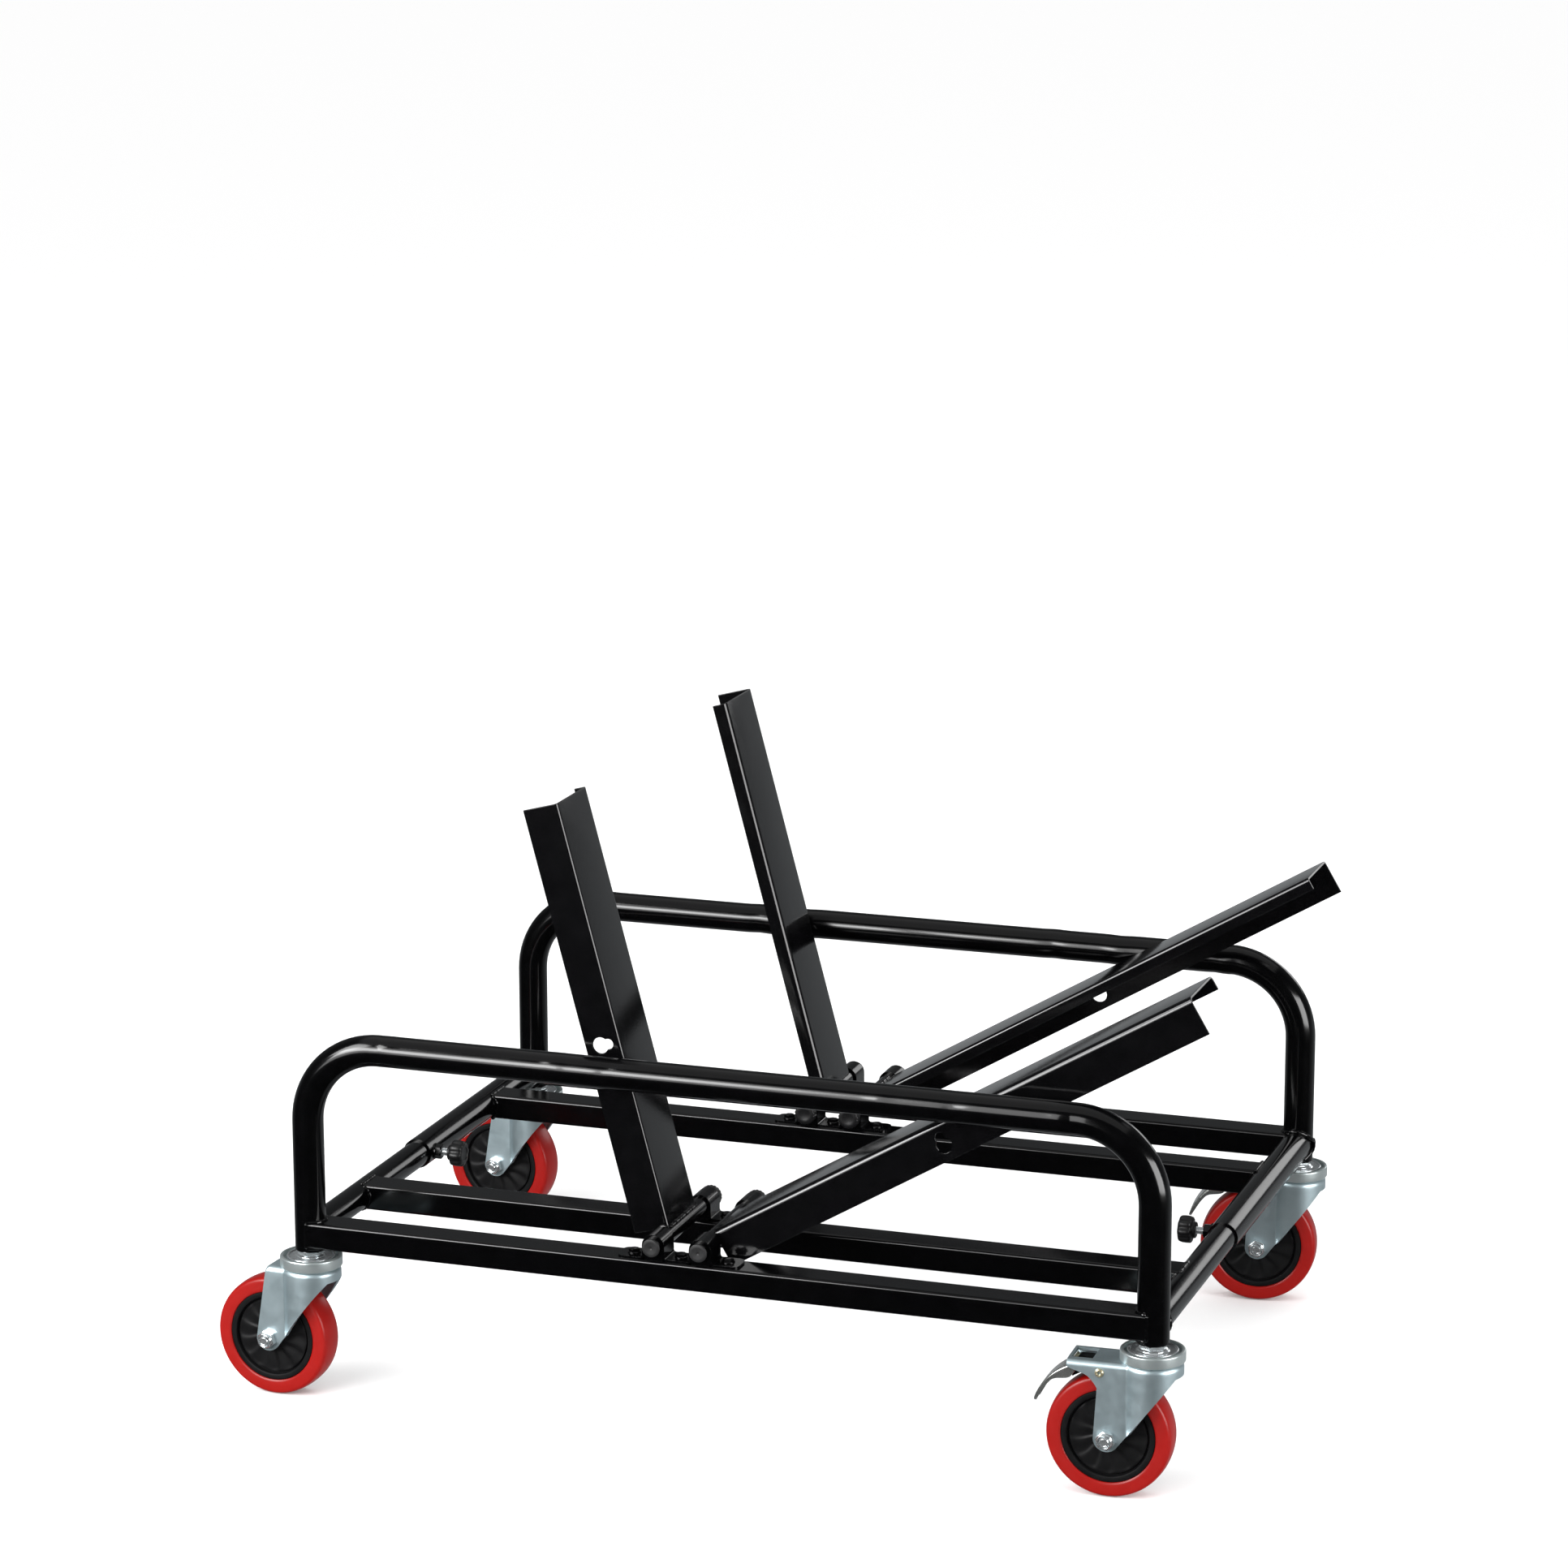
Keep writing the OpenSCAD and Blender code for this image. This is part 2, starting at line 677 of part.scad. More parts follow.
// Outline of a fork's leg seen from the side
module fork_side(hood) {
    foot = [-trail, axle_z];
    heel = foot + fork_foot_r * [-1, 0];
    toe = foot + fork_foot_r * [sin(fork_slope), -cos(fork_slope)];
    front = toe + (neck_low - toe[1]) * [1 / tan(fork_slope), 1];
    cheek_x = hood_reach * cheek_shares[0];
    cheek_z = fork_top - (fork_top - axle_z) * cheek_shares[1];
    root_z = fork_top - (fork_top - axle_z) * cheek_root_share;
    root_x = fork_back + (trail + fork_foot_r - fork_back) * cheek_root_share;
    translate(foot) circle(fork_foot_r);
    polygon([
        [neck_r + cut, fork_top], [-fork_back, fork_top], heel, foot, toe, front, [neck_r + cut, neck_low]
    ]);
    if (hood) polygon([
        [-fork_back, fork_top], [-hood_reach, fork_top], [-hood_reach, fork_top - fork_t],
        [-cheek_x, cheek_z], [-root_x, root_z], [-fork_back, root_z]
    ]);
}

module raceway_cap() {
    edge_r = fork_t * cap_edge_share;
    bore_r = stem_d / 2 + run_fit;
    outer_r = cap_d / 2;
    recess_r = cap_recess_d / 2;
    translate([0, 0, fork_top]) rotate_extrude() difference() {
        union() {
            square([outer_r, cap_h - edge_r]);
            square([outer_r - edge_r, cap_h]);
            translate([outer_r - edge_r, cap_h - edge_r]) circle(edge_r);
        }
        translate([-cut, -cut]) square([bore_r + cut, cap_h + 2 * cut]);
        translate([-cut, cap_h - cap_recess]) square([recess_r + cut, cap_recess + cut]);
    }
}

// Pressed fork: two legs and a neck, a top plate and the raceway cap on it
module fork(i, hood) {
    reach = hood ? hood_reach : fork_back;
    far_back = hood_reach + fork_foot_r;
    color(zinc) caster(i) {
        difference() {
            union() {
                intersection() {
                    linear_extrude(fork_top) difference() {
                        fork_plan(far_back, 0);
                        fork_plan(far_back + cut, fork_t);
                    }
                    along_y(2 * cap_d) fork_side(hood);
                }
                translate([0, 0, fork_top - fork_t]) linear_extrude(fork_t) intersection() {
                    fork_plan(far_back, 0);
                    translate([-reach, -cap_d]) square([reach + cap_d, 2 * cap_d]);
                }
            }
            cylinder(r = stem_d / 2 + run_fit, h = cap_top);
            translate([-trail, 0, axle_z]) rod_y(axle_d + 2 * seat_gap, -cap_d, cap_d);
            if (hood) hood_window();
            if (hood) pedal_pivot_hole();
        }
        raceway_cap();
    }
}

module hood_window() {
    translate([fork_t - hood_reach, -hood_window_w / 2, pedal_z])
        cube([hood_window_len, hood_window_w, cap_top - pedal_z]);
}

module pedal_pivot_hole() {
    translate([-pedal_pivot_back, 0, pedal_z]) rod_y(rivet_d + 2 * run_fit, -cap_d, cap_d);
}

// Axle bolt, its lock nut and the bush that the fork clamps
module axle(i) {
    color(zinc) caster(i) translate([-trail, 0, axle_z]) {
        rod_y(axle_d, -fork_out - axle_nut_t - axle_tail, fork_out);
        translate([0, fork_out, 0]) rotate([-90, 0, 0]) hex(axle_af, axle_head_t);
        translate([0, -fork_out, 0]) rotate([90, 0, 0]) difference() {
            hex(axle_af, axle_nut_t);
            translate([0, 0, -cut]) cylinder(d = axle_d + 2 * seat_gap, h = axle_nut_t + 2 * cut);
        }
        difference() {
            rod_y(bush_d, -fork_in, fork_in);
            rod_y(axle_d + 2 * seat_gap, -fork_in - cut, fork_in + cut);
        }
    }
}

module wheel_place(i) {
    caster(i) translate([-trail, 0, axle_z]) rotate([90, 0, 0]) children();
}

// Half section of a hub, mirrored about the wheel's middle
module hub_half() {
    rim_half = wheel_w / 2 - hub_rim_inset;
    face_half = rim_half - hub_dish;
    boss_half = fork_in - fork_gap / 2;
    bore_r = bush_d / 2 + run_fit;
    difference() {
        union() {
            translate([bore_r, 0]) square([hub_d / 2 - bore_r, face_half]);
            translate([hub_groove_d / 2, 0]) square([(hub_d - hub_groove_d) / 2, rim_half]);
            translate([bore_r, 0]) square([hub_boss_d / 2 - bore_r, boss_half]);
        }
        translate([hub_groove_d / 2 - hub_groove_w, face_half - hub_groove_w])
            square([hub_groove_w, hub_groove_w + cut]);
    }
}

module hub(i) {
    color(black_plastic) wheel_place(i) rotate_extrude() {
        hub_half();
        mirror([0, 1]) hub_half();
    }
}

module tyre(i) {
    bore_r = hub_d / 2 + seat_gap;
    outer_r = wheel_d / 2;
    half = wheel_w / 2;
    color(tyre_red) wheel_place(i) rotate_extrude() {
        translate([bore_r, -half]) square([outer_r - tyre_shoulder_r - bore_r, wheel_w]);
        translate([bore_r, tyre_shoulder_r - half])
            square([outer_r - bore_r, wheel_w - 2 * tyre_shoulder_r]);
        for (y = [-1, 1]) translate([outer_r - tyre_shoulder_r, y * (half - tyre_shoulder_r)])
            circle(tyre_shoulder_r);
    }
}

// Brakes

// Bowed tongue of the pedal, from its root to its tip, thick by the sheet
module tongue(from, to, bow, t) {
    steps = 12;
    chord = to - from;
    across = [-chord[1], chord[0]] / norm(chord);
    function rise(k) = 4 * bow * (k / steps) * (1 - k / steps);
    function at(k, drop) = from + chord * k / steps + across * (drop - rise(k));
    polygon(concat(
        [for (k = [0 : steps]) at(k, 0)],
        [for (k = [steps : -1 : 0]) at(k, t)]
    ));
}

// Pedal: flat plate under the hood, a drooping tongue and two ears on the rivet
module pedal(i) {
    plate_back = hood_reach + pedal_t;
    plate_front = pedal_pivot_back - rivet_d;
    root = [-plate_back, pedal_plate_z + pedal_t];
    tip = [-pedal_tip_back, pedal_tip_z];
    ear_r = rivet_d * pedal_ear_share / 2;
    color(zinc) caster(i) difference() {
        union() {
            translate([-plate_back, -pedal_w / 2, pedal_plate_z])
                cube([plate_back - plate_front, pedal_w, pedal_t]);
            along_y(pedal_w) tongue(root, tip, norm(tip - root) * tongue_bow_share, pedal_t);
            for (y = [-1, 1]) translate([0, y * (pedal_w - pedal_t) / 2, 0]) along_y(pedal_t) {
                translate([-pedal_pivot_back, pedal_z]) circle(ear_r);
                translate([-pedal_pivot_back - ear_r, pedal_z]) square([2 * ear_r, rivet_d / 2]);
            }
        }
        pedal_pivot_hole();
    }
}

module brake_rivet(i) {
    head_t = fork_t * rivet_head_t_share;
    head_d = rivet_d * rivet_head_share;
    color(zinc) caster(i) translate([-pedal_pivot_back, 0, pedal_z]) {
        rod_y(rivet_d, -fork_out - head_t, fork_out + head_t);
        rod_y(head_d, -fork_out - head_t, -fork_out);
        rod_y(head_d, fork_out, fork_out + head_t);
    }
}

// Pad under the pedal, curved to the tyre
module brake_pad(i) {
    pad_w = pedal_w * pad_w_share;
    color(black_plastic) caster(i) difference() {
        translate([-pad_back - pad_len / 2, -pad_w / 2, axle_z])
            cube([pad_len, pad_w, pedal_plate_z - axle_z]);
        translate([-trail, 0, axle_z]) rod_y(wheel_d + 2 * pad_gap, -pad_w, pad_w);
    }
}

// One module for each sub-part

module near_hoop() { hoop(NEAR); }
module near_outer_rail() { outer_rail(NEAR, slide_d); }
module near_inner_rail() { inner_rail(NEAR, slide_d); }
module near_left_slide_tube() { slide_tube(LEFT); }
module near_right_slide_tube() { slide_tube(RIGHT); }
module near_saddle_blocks() { saddle_blocks(NEAR); }
module near_saddle_straps() { saddle_straps(NEAR); }
module near_saddle_bolts() { saddle_bolts(NEAR); }
module near_leg_inserts() { leg_inserts(NEAR); }
module near_caster_stems() { caster_stems(NEAR); }
module far_hoop() { hoop(FAR); }
module far_outer_rail() { outer_rail(FAR, sleeve_d); }
module far_inner_rail() { inner_rail(FAR, sleeve_d); }
module far_left_sleeve() { sleeve(LEFT); }
module far_right_sleeve() { sleeve(RIGHT); }
module far_saddle_blocks() { saddle_blocks(FAR); }
module far_saddle_straps() { saddle_straps(FAR); }
module far_saddle_bolts() { saddle_bolts(FAR); }
module far_leg_inserts() { leg_inserts(FAR); }
module far_caster_stems() { caster_stems(FAR); }
module left_knob() { knob(LEFT); }
module left_knob_stud() { knob_stud(LEFT); }
module right_knob() { knob(RIGHT); }
module right_knob_stud() { knob_stud(RIGHT); }
module near_back_arm() { back_arm_frame(NEAR) arm(back_arm_len, back_keyhole_at); }
module near_back_barrel() { barrel(NEAR, back_pivot_x); }
module near_back_barrel_caps() { barrel_caps(NEAR, back_pivot_x); }
module near_seat_arm() { seat_arm_frame(NEAR) arm(seat_arm_len, seat_keyhole_at); }
module near_seat_barrel() { barrel(NEAR, seat_pivot_x); }
module near_seat_barrel_caps() { barrel_caps(NEAR, seat_pivot_x); }
module far_back_arm() { back_arm_frame(FAR) arm(back_arm_len, back_keyhole_at); }
module far_back_barrel() { barrel(FAR, back_pivot_x); }
module far_back_barrel_caps() { barrel_caps(FAR, back_pivot_x); }
module far_seat_arm() { seat_arm_frame(FAR) arm(seat_arm_len, seat_keyhole_at); }
module far_seat_barrel() { barrel(FAR, seat_pivot_x); }
module far_seat_barrel_caps() { barrel_caps(FAR, seat_pivot_x); }
module near_left_fork() { fork(0, false); }
module near_left_axle() { axle(0); }
module near_left_hub() { hub(0); }
module near_left_tyre() { tyre(0); }
module near_right_fork() { fork(1, true); }
module near_right_axle() { axle(1); }
module near_right_hub() { hub(1); }
module near_right_tyre() { tyre(1); }
module near_right_brake_pedal() { pedal(1); }
module near_right_brake_rivet() { brake_rivet(1); }
module near_right_brake_pad() { brake_pad(1); }
module far_left_fork() { fork(2, false); }
module far_left_axle() { axle(2); }
module far_left_hub() { hub(2); }
module far_left_tyre() { tyre(2); }
module far_right_fork() { fork(3, true); }
module far_right_axle() { axle(3); }
module far_right_hub() { hub(3); }
module far_right_tyre() { tyre(3); }
module far_right_brake_pedal() { pedal(3); }
module far_right_brake_rivet() { brake_rivet(3); }
module far_right_brake_pad() { brake_pad(3); }

near_hoop();
near_outer_rail();
near_inner_rail();
near_left_slide_tube();
near_right_slide_tube();
near_saddle_blocks();
near_saddle_straps();
near_saddle_bolts();
near_leg_inserts();
near_caster_stems();
far_hoop();
far_outer_rail();
far_inner_rail();
far_left_sleeve();
far_right_sleeve();
far_clamp_nuts();
far_saddle_blocks();
far_saddle_straps();
far_saddle_bolts();
far_leg_inserts();
far_caster_stems();
left_knob();
left_knob_stud();
right_knob();
right_knob_stud();
near_back_arm();
near_back_barrel();
near_back_barrel_caps();
near_seat_arm();
near_seat_barrel();
near_seat_barrel_caps();
far_back_arm();
far_back_barrel();
far_back_barrel_caps();
far_seat_arm();
far_seat_barrel();
far_seat_barrel_caps();
near_left_fork();
near_left_axle();
near_left_hub();
near_left_tyre();
near_right_fork();
near_right_axle();
near_right_hub();
near_right_tyre();
near_right_brake_pedal();
near_right_brake_rivet();
near_right_brake_pad();
far_left_fork();
far_left_axle();
far_left_hub();
far_left_tyre();
far_right_fork();
far_right_axle();
far_right_hub();
far_right_tyre();
far_right_brake_pedal();
far_right_brake_rivet();
far_right_brake_pad();
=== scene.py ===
import json
from math import acos, asin, atan2, copysign, cos, degrees, exp, pi, radians, sin, sqrt, tan

import bmesh
import bpy
from mathutils import Matrix, Vector


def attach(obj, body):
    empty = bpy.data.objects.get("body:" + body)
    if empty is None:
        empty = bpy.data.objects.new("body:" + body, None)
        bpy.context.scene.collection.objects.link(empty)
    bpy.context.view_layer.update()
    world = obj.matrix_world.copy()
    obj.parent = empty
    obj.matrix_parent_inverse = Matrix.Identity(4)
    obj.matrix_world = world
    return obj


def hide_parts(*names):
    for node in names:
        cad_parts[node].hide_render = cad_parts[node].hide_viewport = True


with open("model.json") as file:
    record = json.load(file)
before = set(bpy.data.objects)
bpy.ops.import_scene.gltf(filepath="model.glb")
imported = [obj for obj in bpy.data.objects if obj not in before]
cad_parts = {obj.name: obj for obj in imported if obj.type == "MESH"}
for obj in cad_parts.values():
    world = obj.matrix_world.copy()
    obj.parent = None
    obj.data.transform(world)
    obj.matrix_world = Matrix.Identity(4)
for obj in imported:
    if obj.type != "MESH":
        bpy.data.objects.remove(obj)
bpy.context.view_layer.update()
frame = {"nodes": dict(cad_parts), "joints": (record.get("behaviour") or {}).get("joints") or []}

MM = 0.001
NODES = frame["nodes"]
JOINTS = {j["name"]: j for j in frame["joints"]}
SCENE = bpy.context.scene


# Materials

def new_material(name, base, rough, metallic=0.0, specular=0.5):
    """Plain material and its shader node."""
    mat = bpy.data.materials.new(name)
    mat.use_nodes = True
    bsdf = mat.node_tree.nodes["Principled BSDF"]
    bsdf.inputs["Base Color"].default_value = (*base, 1.0)
    bsdf.inputs["Roughness"].default_value = rough
    bsdf.inputs["Metallic"].default_value = metallic
    bsdf.inputs["Specular IOR Level"].default_value = specular
    return mat, bsdf


def add_node(mat, kind, **values):
    """New node of a material, with values for its inputs."""
    node = mat.node_tree.nodes.new(kind)
    for key, value in values.items():
        node.inputs[key].default_value = value
    return node


def link(mat, out_socket, in_socket):
    mat.node_tree.links.new(out_socket, in_socket)


def noise(mat, scale, detail, roughness=0.5):
    node = add_node(mat, "ShaderNodeTexNoise", Scale=scale, Detail=detail, Roughness=roughness)
    link(mat, add_node(mat, "ShaderNodeTexCoord").outputs["Object"], node.inputs["Vector"])
    return node.outputs["Fac"]


def mottle(mat, bsdf, socket, grain, low, high, start=0.3, end=0.7):
    """Lets noise move a socket between two values; grain is the noise's scale, detail and roughness."""
    node = add_node(mat, "ShaderNodeValToRGB")
    for element, place, value in zip(node.color_ramp.elements, (start, end), (low, high)):
        element.position = place
        element.color = (*value, 1.0) if isinstance(value, tuple) else (value, value, value, 1.0)
    link(mat, noise(mat, *grain), node.inputs["Fac"])
    link(mat, node.outputs["Color"], bsdf.inputs[socket])


def bump(mat, bsdf, height, strength, distance):
    """Fine relief that bends the light only."""
    node = add_node(mat, "ShaderNodeBump", Strength=strength, Distance=distance)
    link(mat, height, node.inputs["Height"])
    link(mat, node.outputs["Normal"], bsdf.inputs["Normal"])


def paint_material(name, low, high, rough_low, rough_high, peel, lumps=320.0):
    """Black powder coat with orange peel and a faint change of gloss."""
    mat, bsdf = new_material(name, high, rough_low)
    mottle(mat, bsdf, "Roughness", (28.0, 4.0), rough_low, rough_high)
    mottle(mat, bsdf, "Base Color", (60.0, 3.0), low, high)
    bump(mat, bsdf, noise(mat, lumps, 2.0), peel, 0.0004)
    return mat


def zinc_material(name, low, high, rough_low, rough_high, grain, metallic):
    """Zinc plate with soft mottling."""
    mat, bsdf = new_material(name, high, rough_low, metallic=metallic)
    mottle(mat, bsdf, "Base Color", (42.0, 6.0, 0.6), low, high, 0.25, 0.75)
    mottle(mat, bsdf, "Roughness", (90.0, 5.0, 0.6), rough_low, rough_high)
    bump(mat, bsdf, noise(mat, 900.0, 3.0), grain, 0.0002)
    return mat


def plastic_material(name, low, high, rough_low, rough_high, grain, scale, specular=0.5):
    """Moulded plastic or rubber with a fine grain."""
    mat, bsdf = new_material(name, high, rough_low, specular=specular)
    mottle(mat, bsdf, "Base Color", (70.0, 4.0), low, high)
    mottle(mat, bsdf, "Roughness", (150.0, 3.0), rough_low, rough_high)
    bump(mat, bsdf, noise(mat, scale, 2.0), grain, 0.0002)
    return mat


PAINT = paint_material("black_paint", (0.0004, 0.0004, 0.0005), (0.0008, 0.0008, 0.0010),
                       0.12, 0.16, 0.025)
# Arm sheets: their own orange peel and gloss, and a greyer base than the tube paint so the flanges read
# lighter: painted light
SHEET_PAINT_PAINTED_LIGHT = paint_material("black_paint_sheet_painted_light", (0.0012, 0.0012, 0.0014), (0.0020, 0.0020, 0.0023),
                             0.09, 0.13, 0.09, 560.0)
ZINC = zinc_material("zinc_plate", (0.50, 0.62, 0.66), (0.61, 0.73, 0.77), 0.38, 0.46, 0.03, 0.94)
DULL = zinc_material("dull_zinc", (0.50, 0.565, 0.57), (0.60, 0.66, 0.66), 0.30, 0.38, 0.04, 0.86)
BRIGHT = zinc_material("bright_zinc", (0.74, 0.79, 0.81), (0.86, 0.89, 0.90), 0.15, 0.24, 0.01, 0.92)
# Pedal plate: a darker, greyer copy of the zinc so that its faces read dark: painted shade
PEDAL_PAINTED_SHADE = zinc_material("pedal_plate_painted_shade", (0.45, 0.46, 0.45), (0.56, 0.57, 0.55), 0.15, 0.24, 0.01, 0.92)
BRASSY = zinc_material("passivated_zinc", (0.62, 0.55, 0.34), (0.78, 0.70, 0.48), 0.24, 0.34, 0.02, 0.88)
BLACK = plastic_material("black_plastic", (0.0020, 0.0020, 0.0023), (0.0036, 0.0036, 0.0040),
                         0.36, 0.46, 0.05, 1500.0)
HUB = plastic_material("black_hub", (0.0028, 0.0028, 0.0031), (0.0046, 0.0046, 0.0050),
                       0.40, 0.50, 0.05, 1500.0, 0.2)
# black rubber of the pad; its dark, nearly glossless boss also stands for the shade inside the hood's
# window: painted shade
RUBBER_AND_PAINTED_SHADE = plastic_material("black_rubber_and_painted_shade", (0.0012, 0.0012, 0.0013), (0.0020, 0.0020, 0.0022),
                          0.62, 0.74, 0.06, 1300.0, 0.08)
GREY = plastic_material("grey_plastic", (0.0065, 0.0065, 0.0070), (0.0100, 0.0100, 0.0106),
                        0.44, 0.58, 0.08, 1200.0)
RED = plastic_material("red_tyre", (0.206, 0.0024, 0.0012), (0.220, 0.0028, 0.0014),
                       0.28, 0.32, 0.003, 400.0, 0.3)

# Materials of the solids by the ends of their names; all others are painted
LOOKS = [("_tyre", RED), (("_hub", "_inserts", "_pad", "_knob"), BLACK), ("_caps", GREY),
         (("_fork", "_pedal"), ZINC), (("_axle", "_rivet", "_stems", "_stud"), BRIGHT),
         ("_arm", SHEET_PAINT_PAINTED_LIGHT)]

for name, obj in NODES.items():
    obj.data.materials.clear()
    obj.data.materials.append(next((mat for end, mat in LOOKS if name.endswith(end)), PAINT))


# Mesh building, in millimetres

def spaced(low, high, count):
    """Values in equal steps, both ends included."""
    return [low + (high - low) * k / count for k in range(count + 1)]


def arc(count, first, last):
    """Angles in equal steps between two given in degrees."""
    return [radians(a) for a in spaced(first, last, count)]


def full_turn(count):
    """Angles in equal steps all the way round."""
    return [2.0 * pi * k / count for k in range(count)]


def polar(r, a, z):
    """Point at a radius, an angle and a height."""
    return (r * cos(a), r * sin(a), z)


class Shape:
    """Points and faces put together from several forms."""

    def __init__(self):
        self.points, self.faces = [], []

    def add(self, form, place=None):
        points, faces = form
        start = len(self.points)
        self.points += [tuple(place @ Vector(p) if place else p) for p in points]
        self.faces += [tuple(start + i for i in face) for face in faces]
        return self


def skin(rings):
    """Faces through rings of points in step; a ring of one point is a pole."""
    points, faces, index = [], [], []
    for ring in rings:
        index.append(range(len(points), len(points) + len(ring)))
        points += ring
    for a, b in zip(index, index[1:]):
        n = max(len(a), len(b))
        for k in range(n if n > 1 else 0):
            j = (k + 1) % n
            if len(a) == 1:
                faces.append((a[0], b[j], b[k]))
            elif len(b) == 1:
                faces.append((a[k], a[j], b[0]))
            else:
                faces.append((a[k], a[j], b[j], b[k]))
    return points, faces


def lathe(profile, segments):
    """Turned form about Z from (radius, height) points."""
    turns = full_turn(segments)
    return skin([[(0.0, 0.0, z)] if r < 1e-6 else [polar(r, a, z) for a in turns] for r, z in profile])


def fillet(points, radii, closed=True, steps=4):
    """Outline with rounded corners; radii is one number or one for each point."""
    out, n = [], len(points)
    for i in range(n):
        r = radii[i] if isinstance(radii, (list, tuple)) else radii
        at = Vector(points[i])
        if r <= 0.0 or (not closed and i in (0, n - 1)):
            out.append(tuple(at))
            continue
        back, ahead = Vector(points[i - 1]) - at, Vector(points[(i + 1) % n]) - at
        turn = back.angle(ahead)
        reach = min(r / tan(turn / 2.0), back.length * 0.49, ahead.length * 0.49)
        a, b = at + back.normalized() * reach, at + ahead.normalized() * reach
        bow = reach * tan(turn / 2.0)
        centre = at + (back.normalized() + ahead.normalized()).normalized() * (bow / sin(turn / 2.0))
        start, end = a - centre, b - centre
        whole = start.angle(end)
        for k in range(steps + 1):
            t = k / steps
            spread = (start * sin((1.0 - t) * whole) + end * sin(t * whole)) / sin(whole)
            out.append(tuple(centre + spread))
    return out


def spun(points, radii, segments=72, closed=False, steps=4):
    """Turned form from a profile with rounded corners; a closed one comes back to its start."""
    profile = fillet(points, radii, closed, steps)
    return lathe(profile + profile[:1] if closed else profile, segments)


def prism(outline, low, high):
    """Closed outline in XY between two heights."""
    n = len(outline)
    points = [(x, y, low) for x, y in outline] + [(x, y, high) for x, y in outline]
    faces = [(k, (k + 1) % n, n + (k + 1) % n, n + k) for k in range(n)]
    return points, faces + [tuple(reversed(range(n))), tuple(range(n, 2 * n))]


# Share of a nut's flats that its round face spans, slope of its turned corners and steps on a flat
NUT_FACE, NUT_SLOPE, NUT_STEPS = 0.95, radians(28.0), 10


def nut(af, low, high, bore=0.0):
    """Hexagon with its corners turned off, and a hole if bore is given."""
    n, half = 6 * NUT_STEPS, af / 2.0
    turns = full_turn(n)
    sizes = [half / cos((a + pi / 6.0) % (pi / 3.0) - pi / 6.0) for a in turns]
    drops = [(r - half * NUT_FACE) * tan(NUT_SLOPE) for r in sizes]

    def ring(radii, heights):
        return [polar(r, a, z) for r, a, z in zip(radii, turns, heights)]

    disc, hole = [half * NUT_FACE] * n, [bore] * n
    rings = [ring(disc, [low] * n), ring(sizes, [low + d for d in drops]),
             ring(sizes, [high - d for d in drops]), ring(disc, [high] * n)]
    if bore > 0.0:
        return skin([ring(hole, [low] * n)] + rings + [ring(hole, [high] * n), ring(hole, [low] * n)])
    return skin([[(0.0, 0.0, low)]] + rings + [[(0.0, 0.0, high)]])


def sweep(path, radius, segments, closed=False, ends=()):
    """Round tube along points; radius is one number or one for each point.

    ends lists rings as (radius, distance inward) that shape both open ends, innermost first."""
    path = [Vector(p) for p in path]
    n = len(path)
    radii = radius if isinstance(radius, (list, tuple)) else [radius] * n
    turns = full_turn(segments)
    frames, side = [], None
    for i, at in enumerate(path):
        before = path[i - 1] if i or closed else at
        after = path[(i + 1) % n] if i < n - 1 or closed else at
        along = (after - before).normalized()
        side = side or along.orthogonal()
        side = (side - along * side.dot(along)).normalized()
        frames.append((at, along, side, along.cross(side)))

    def ring(frame_at, r, shift=0.0):
        at, along, side, up = frame_at
        return [tuple(at + along * shift + r * (cos(a) * side + sin(a) * up)) for a in turns]

    rings = [ring(f, r) for f, r in zip(frames, radii)]
    if closed:
        return skin(rings + [rings[0]])
    first, last = frames[0], frames[-1]
    inset = ends[0][1] if ends else 0.0
    rings = ([[tuple(first[0] + first[1] * inset)]] + [ring(first, r, d) for r, d in ends] + rings
             + [ring(last, r, -d) for r, d in reversed(ends)] + [[tuple(last[0] - last[1] * inset)]])
    return skin(rings)


def slab(top, bottom):
    """Closed plate between two grids of points, each a list of rows."""
    rows, count = len(top), len(top[0])
    points = [p for row in top for p in row] + [p for row in bottom for p in row]
    shift = rows * count
    faces = []
    for i in range(rows - 1):
        for j in range(count - 1):
            a, b = i * count + j, (i + 1) * count + j
            faces += [(a, b, b + 1, a + 1), (shift + a, shift + a + 1, shift + b + 1, shift + b)]
    rim = (list(range(count)) + [i * count + count - 1 for i in range(1, rows)]
           + [(rows - 1) * count + j for j in range(count - 2, -1, -1)]
           + [i * count for i in range(rows - 2, 0, -1)])
    faces += [(a, b, shift + b, shift + a) for a, b in zip(rim, rim[1:] + rim[:1])]
    return points, faces


def piece(name, shape, mat, body, nodes=(), place=None, smooth=35.0, bevel=0.0, steps=2,
          thick=0.0):
    """New object from a shape, riding on a body and standing for the named solids.

    smooth is the angle above which an edge stays sharp, or is bevelled; thick makes a sheet."""
    mesh = bpy.data.meshes.new(name)
    mesh.from_pydata(shape.points, [], shape.faces)
    form = bmesh.new()
    form.from_mesh(mesh)
    bmesh.ops.remove_doubles(form, verts=form.verts, dist=0.001)
    bmesh.ops.recalc_face_normals(form, faces=form.faces)
    form.to_mesh(mesh)
    form.free()
    mesh.transform(Matrix.Scale(MM, 4) @ (place or Matrix.Identity(4)))
    mesh.shade_smooth()
    if not bevel:
        mesh.set_sharp_from_angle(angle=radians(smooth))
    mesh.materials.append(mat)
    obj = bpy.data.objects.new(name, mesh)
    SCENE.collection.objects.link(obj)
    if thick:
        wall = obj.modifiers.new("wall", "SOLIDIFY")
        wall.thickness, wall.offset = thick * MM, -1.0
        wall.use_even_offset = True
    if bevel:
        soften(obj, bevel, steps, smooth)
    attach(obj, body)
    if nodes:
        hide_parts(*nodes)


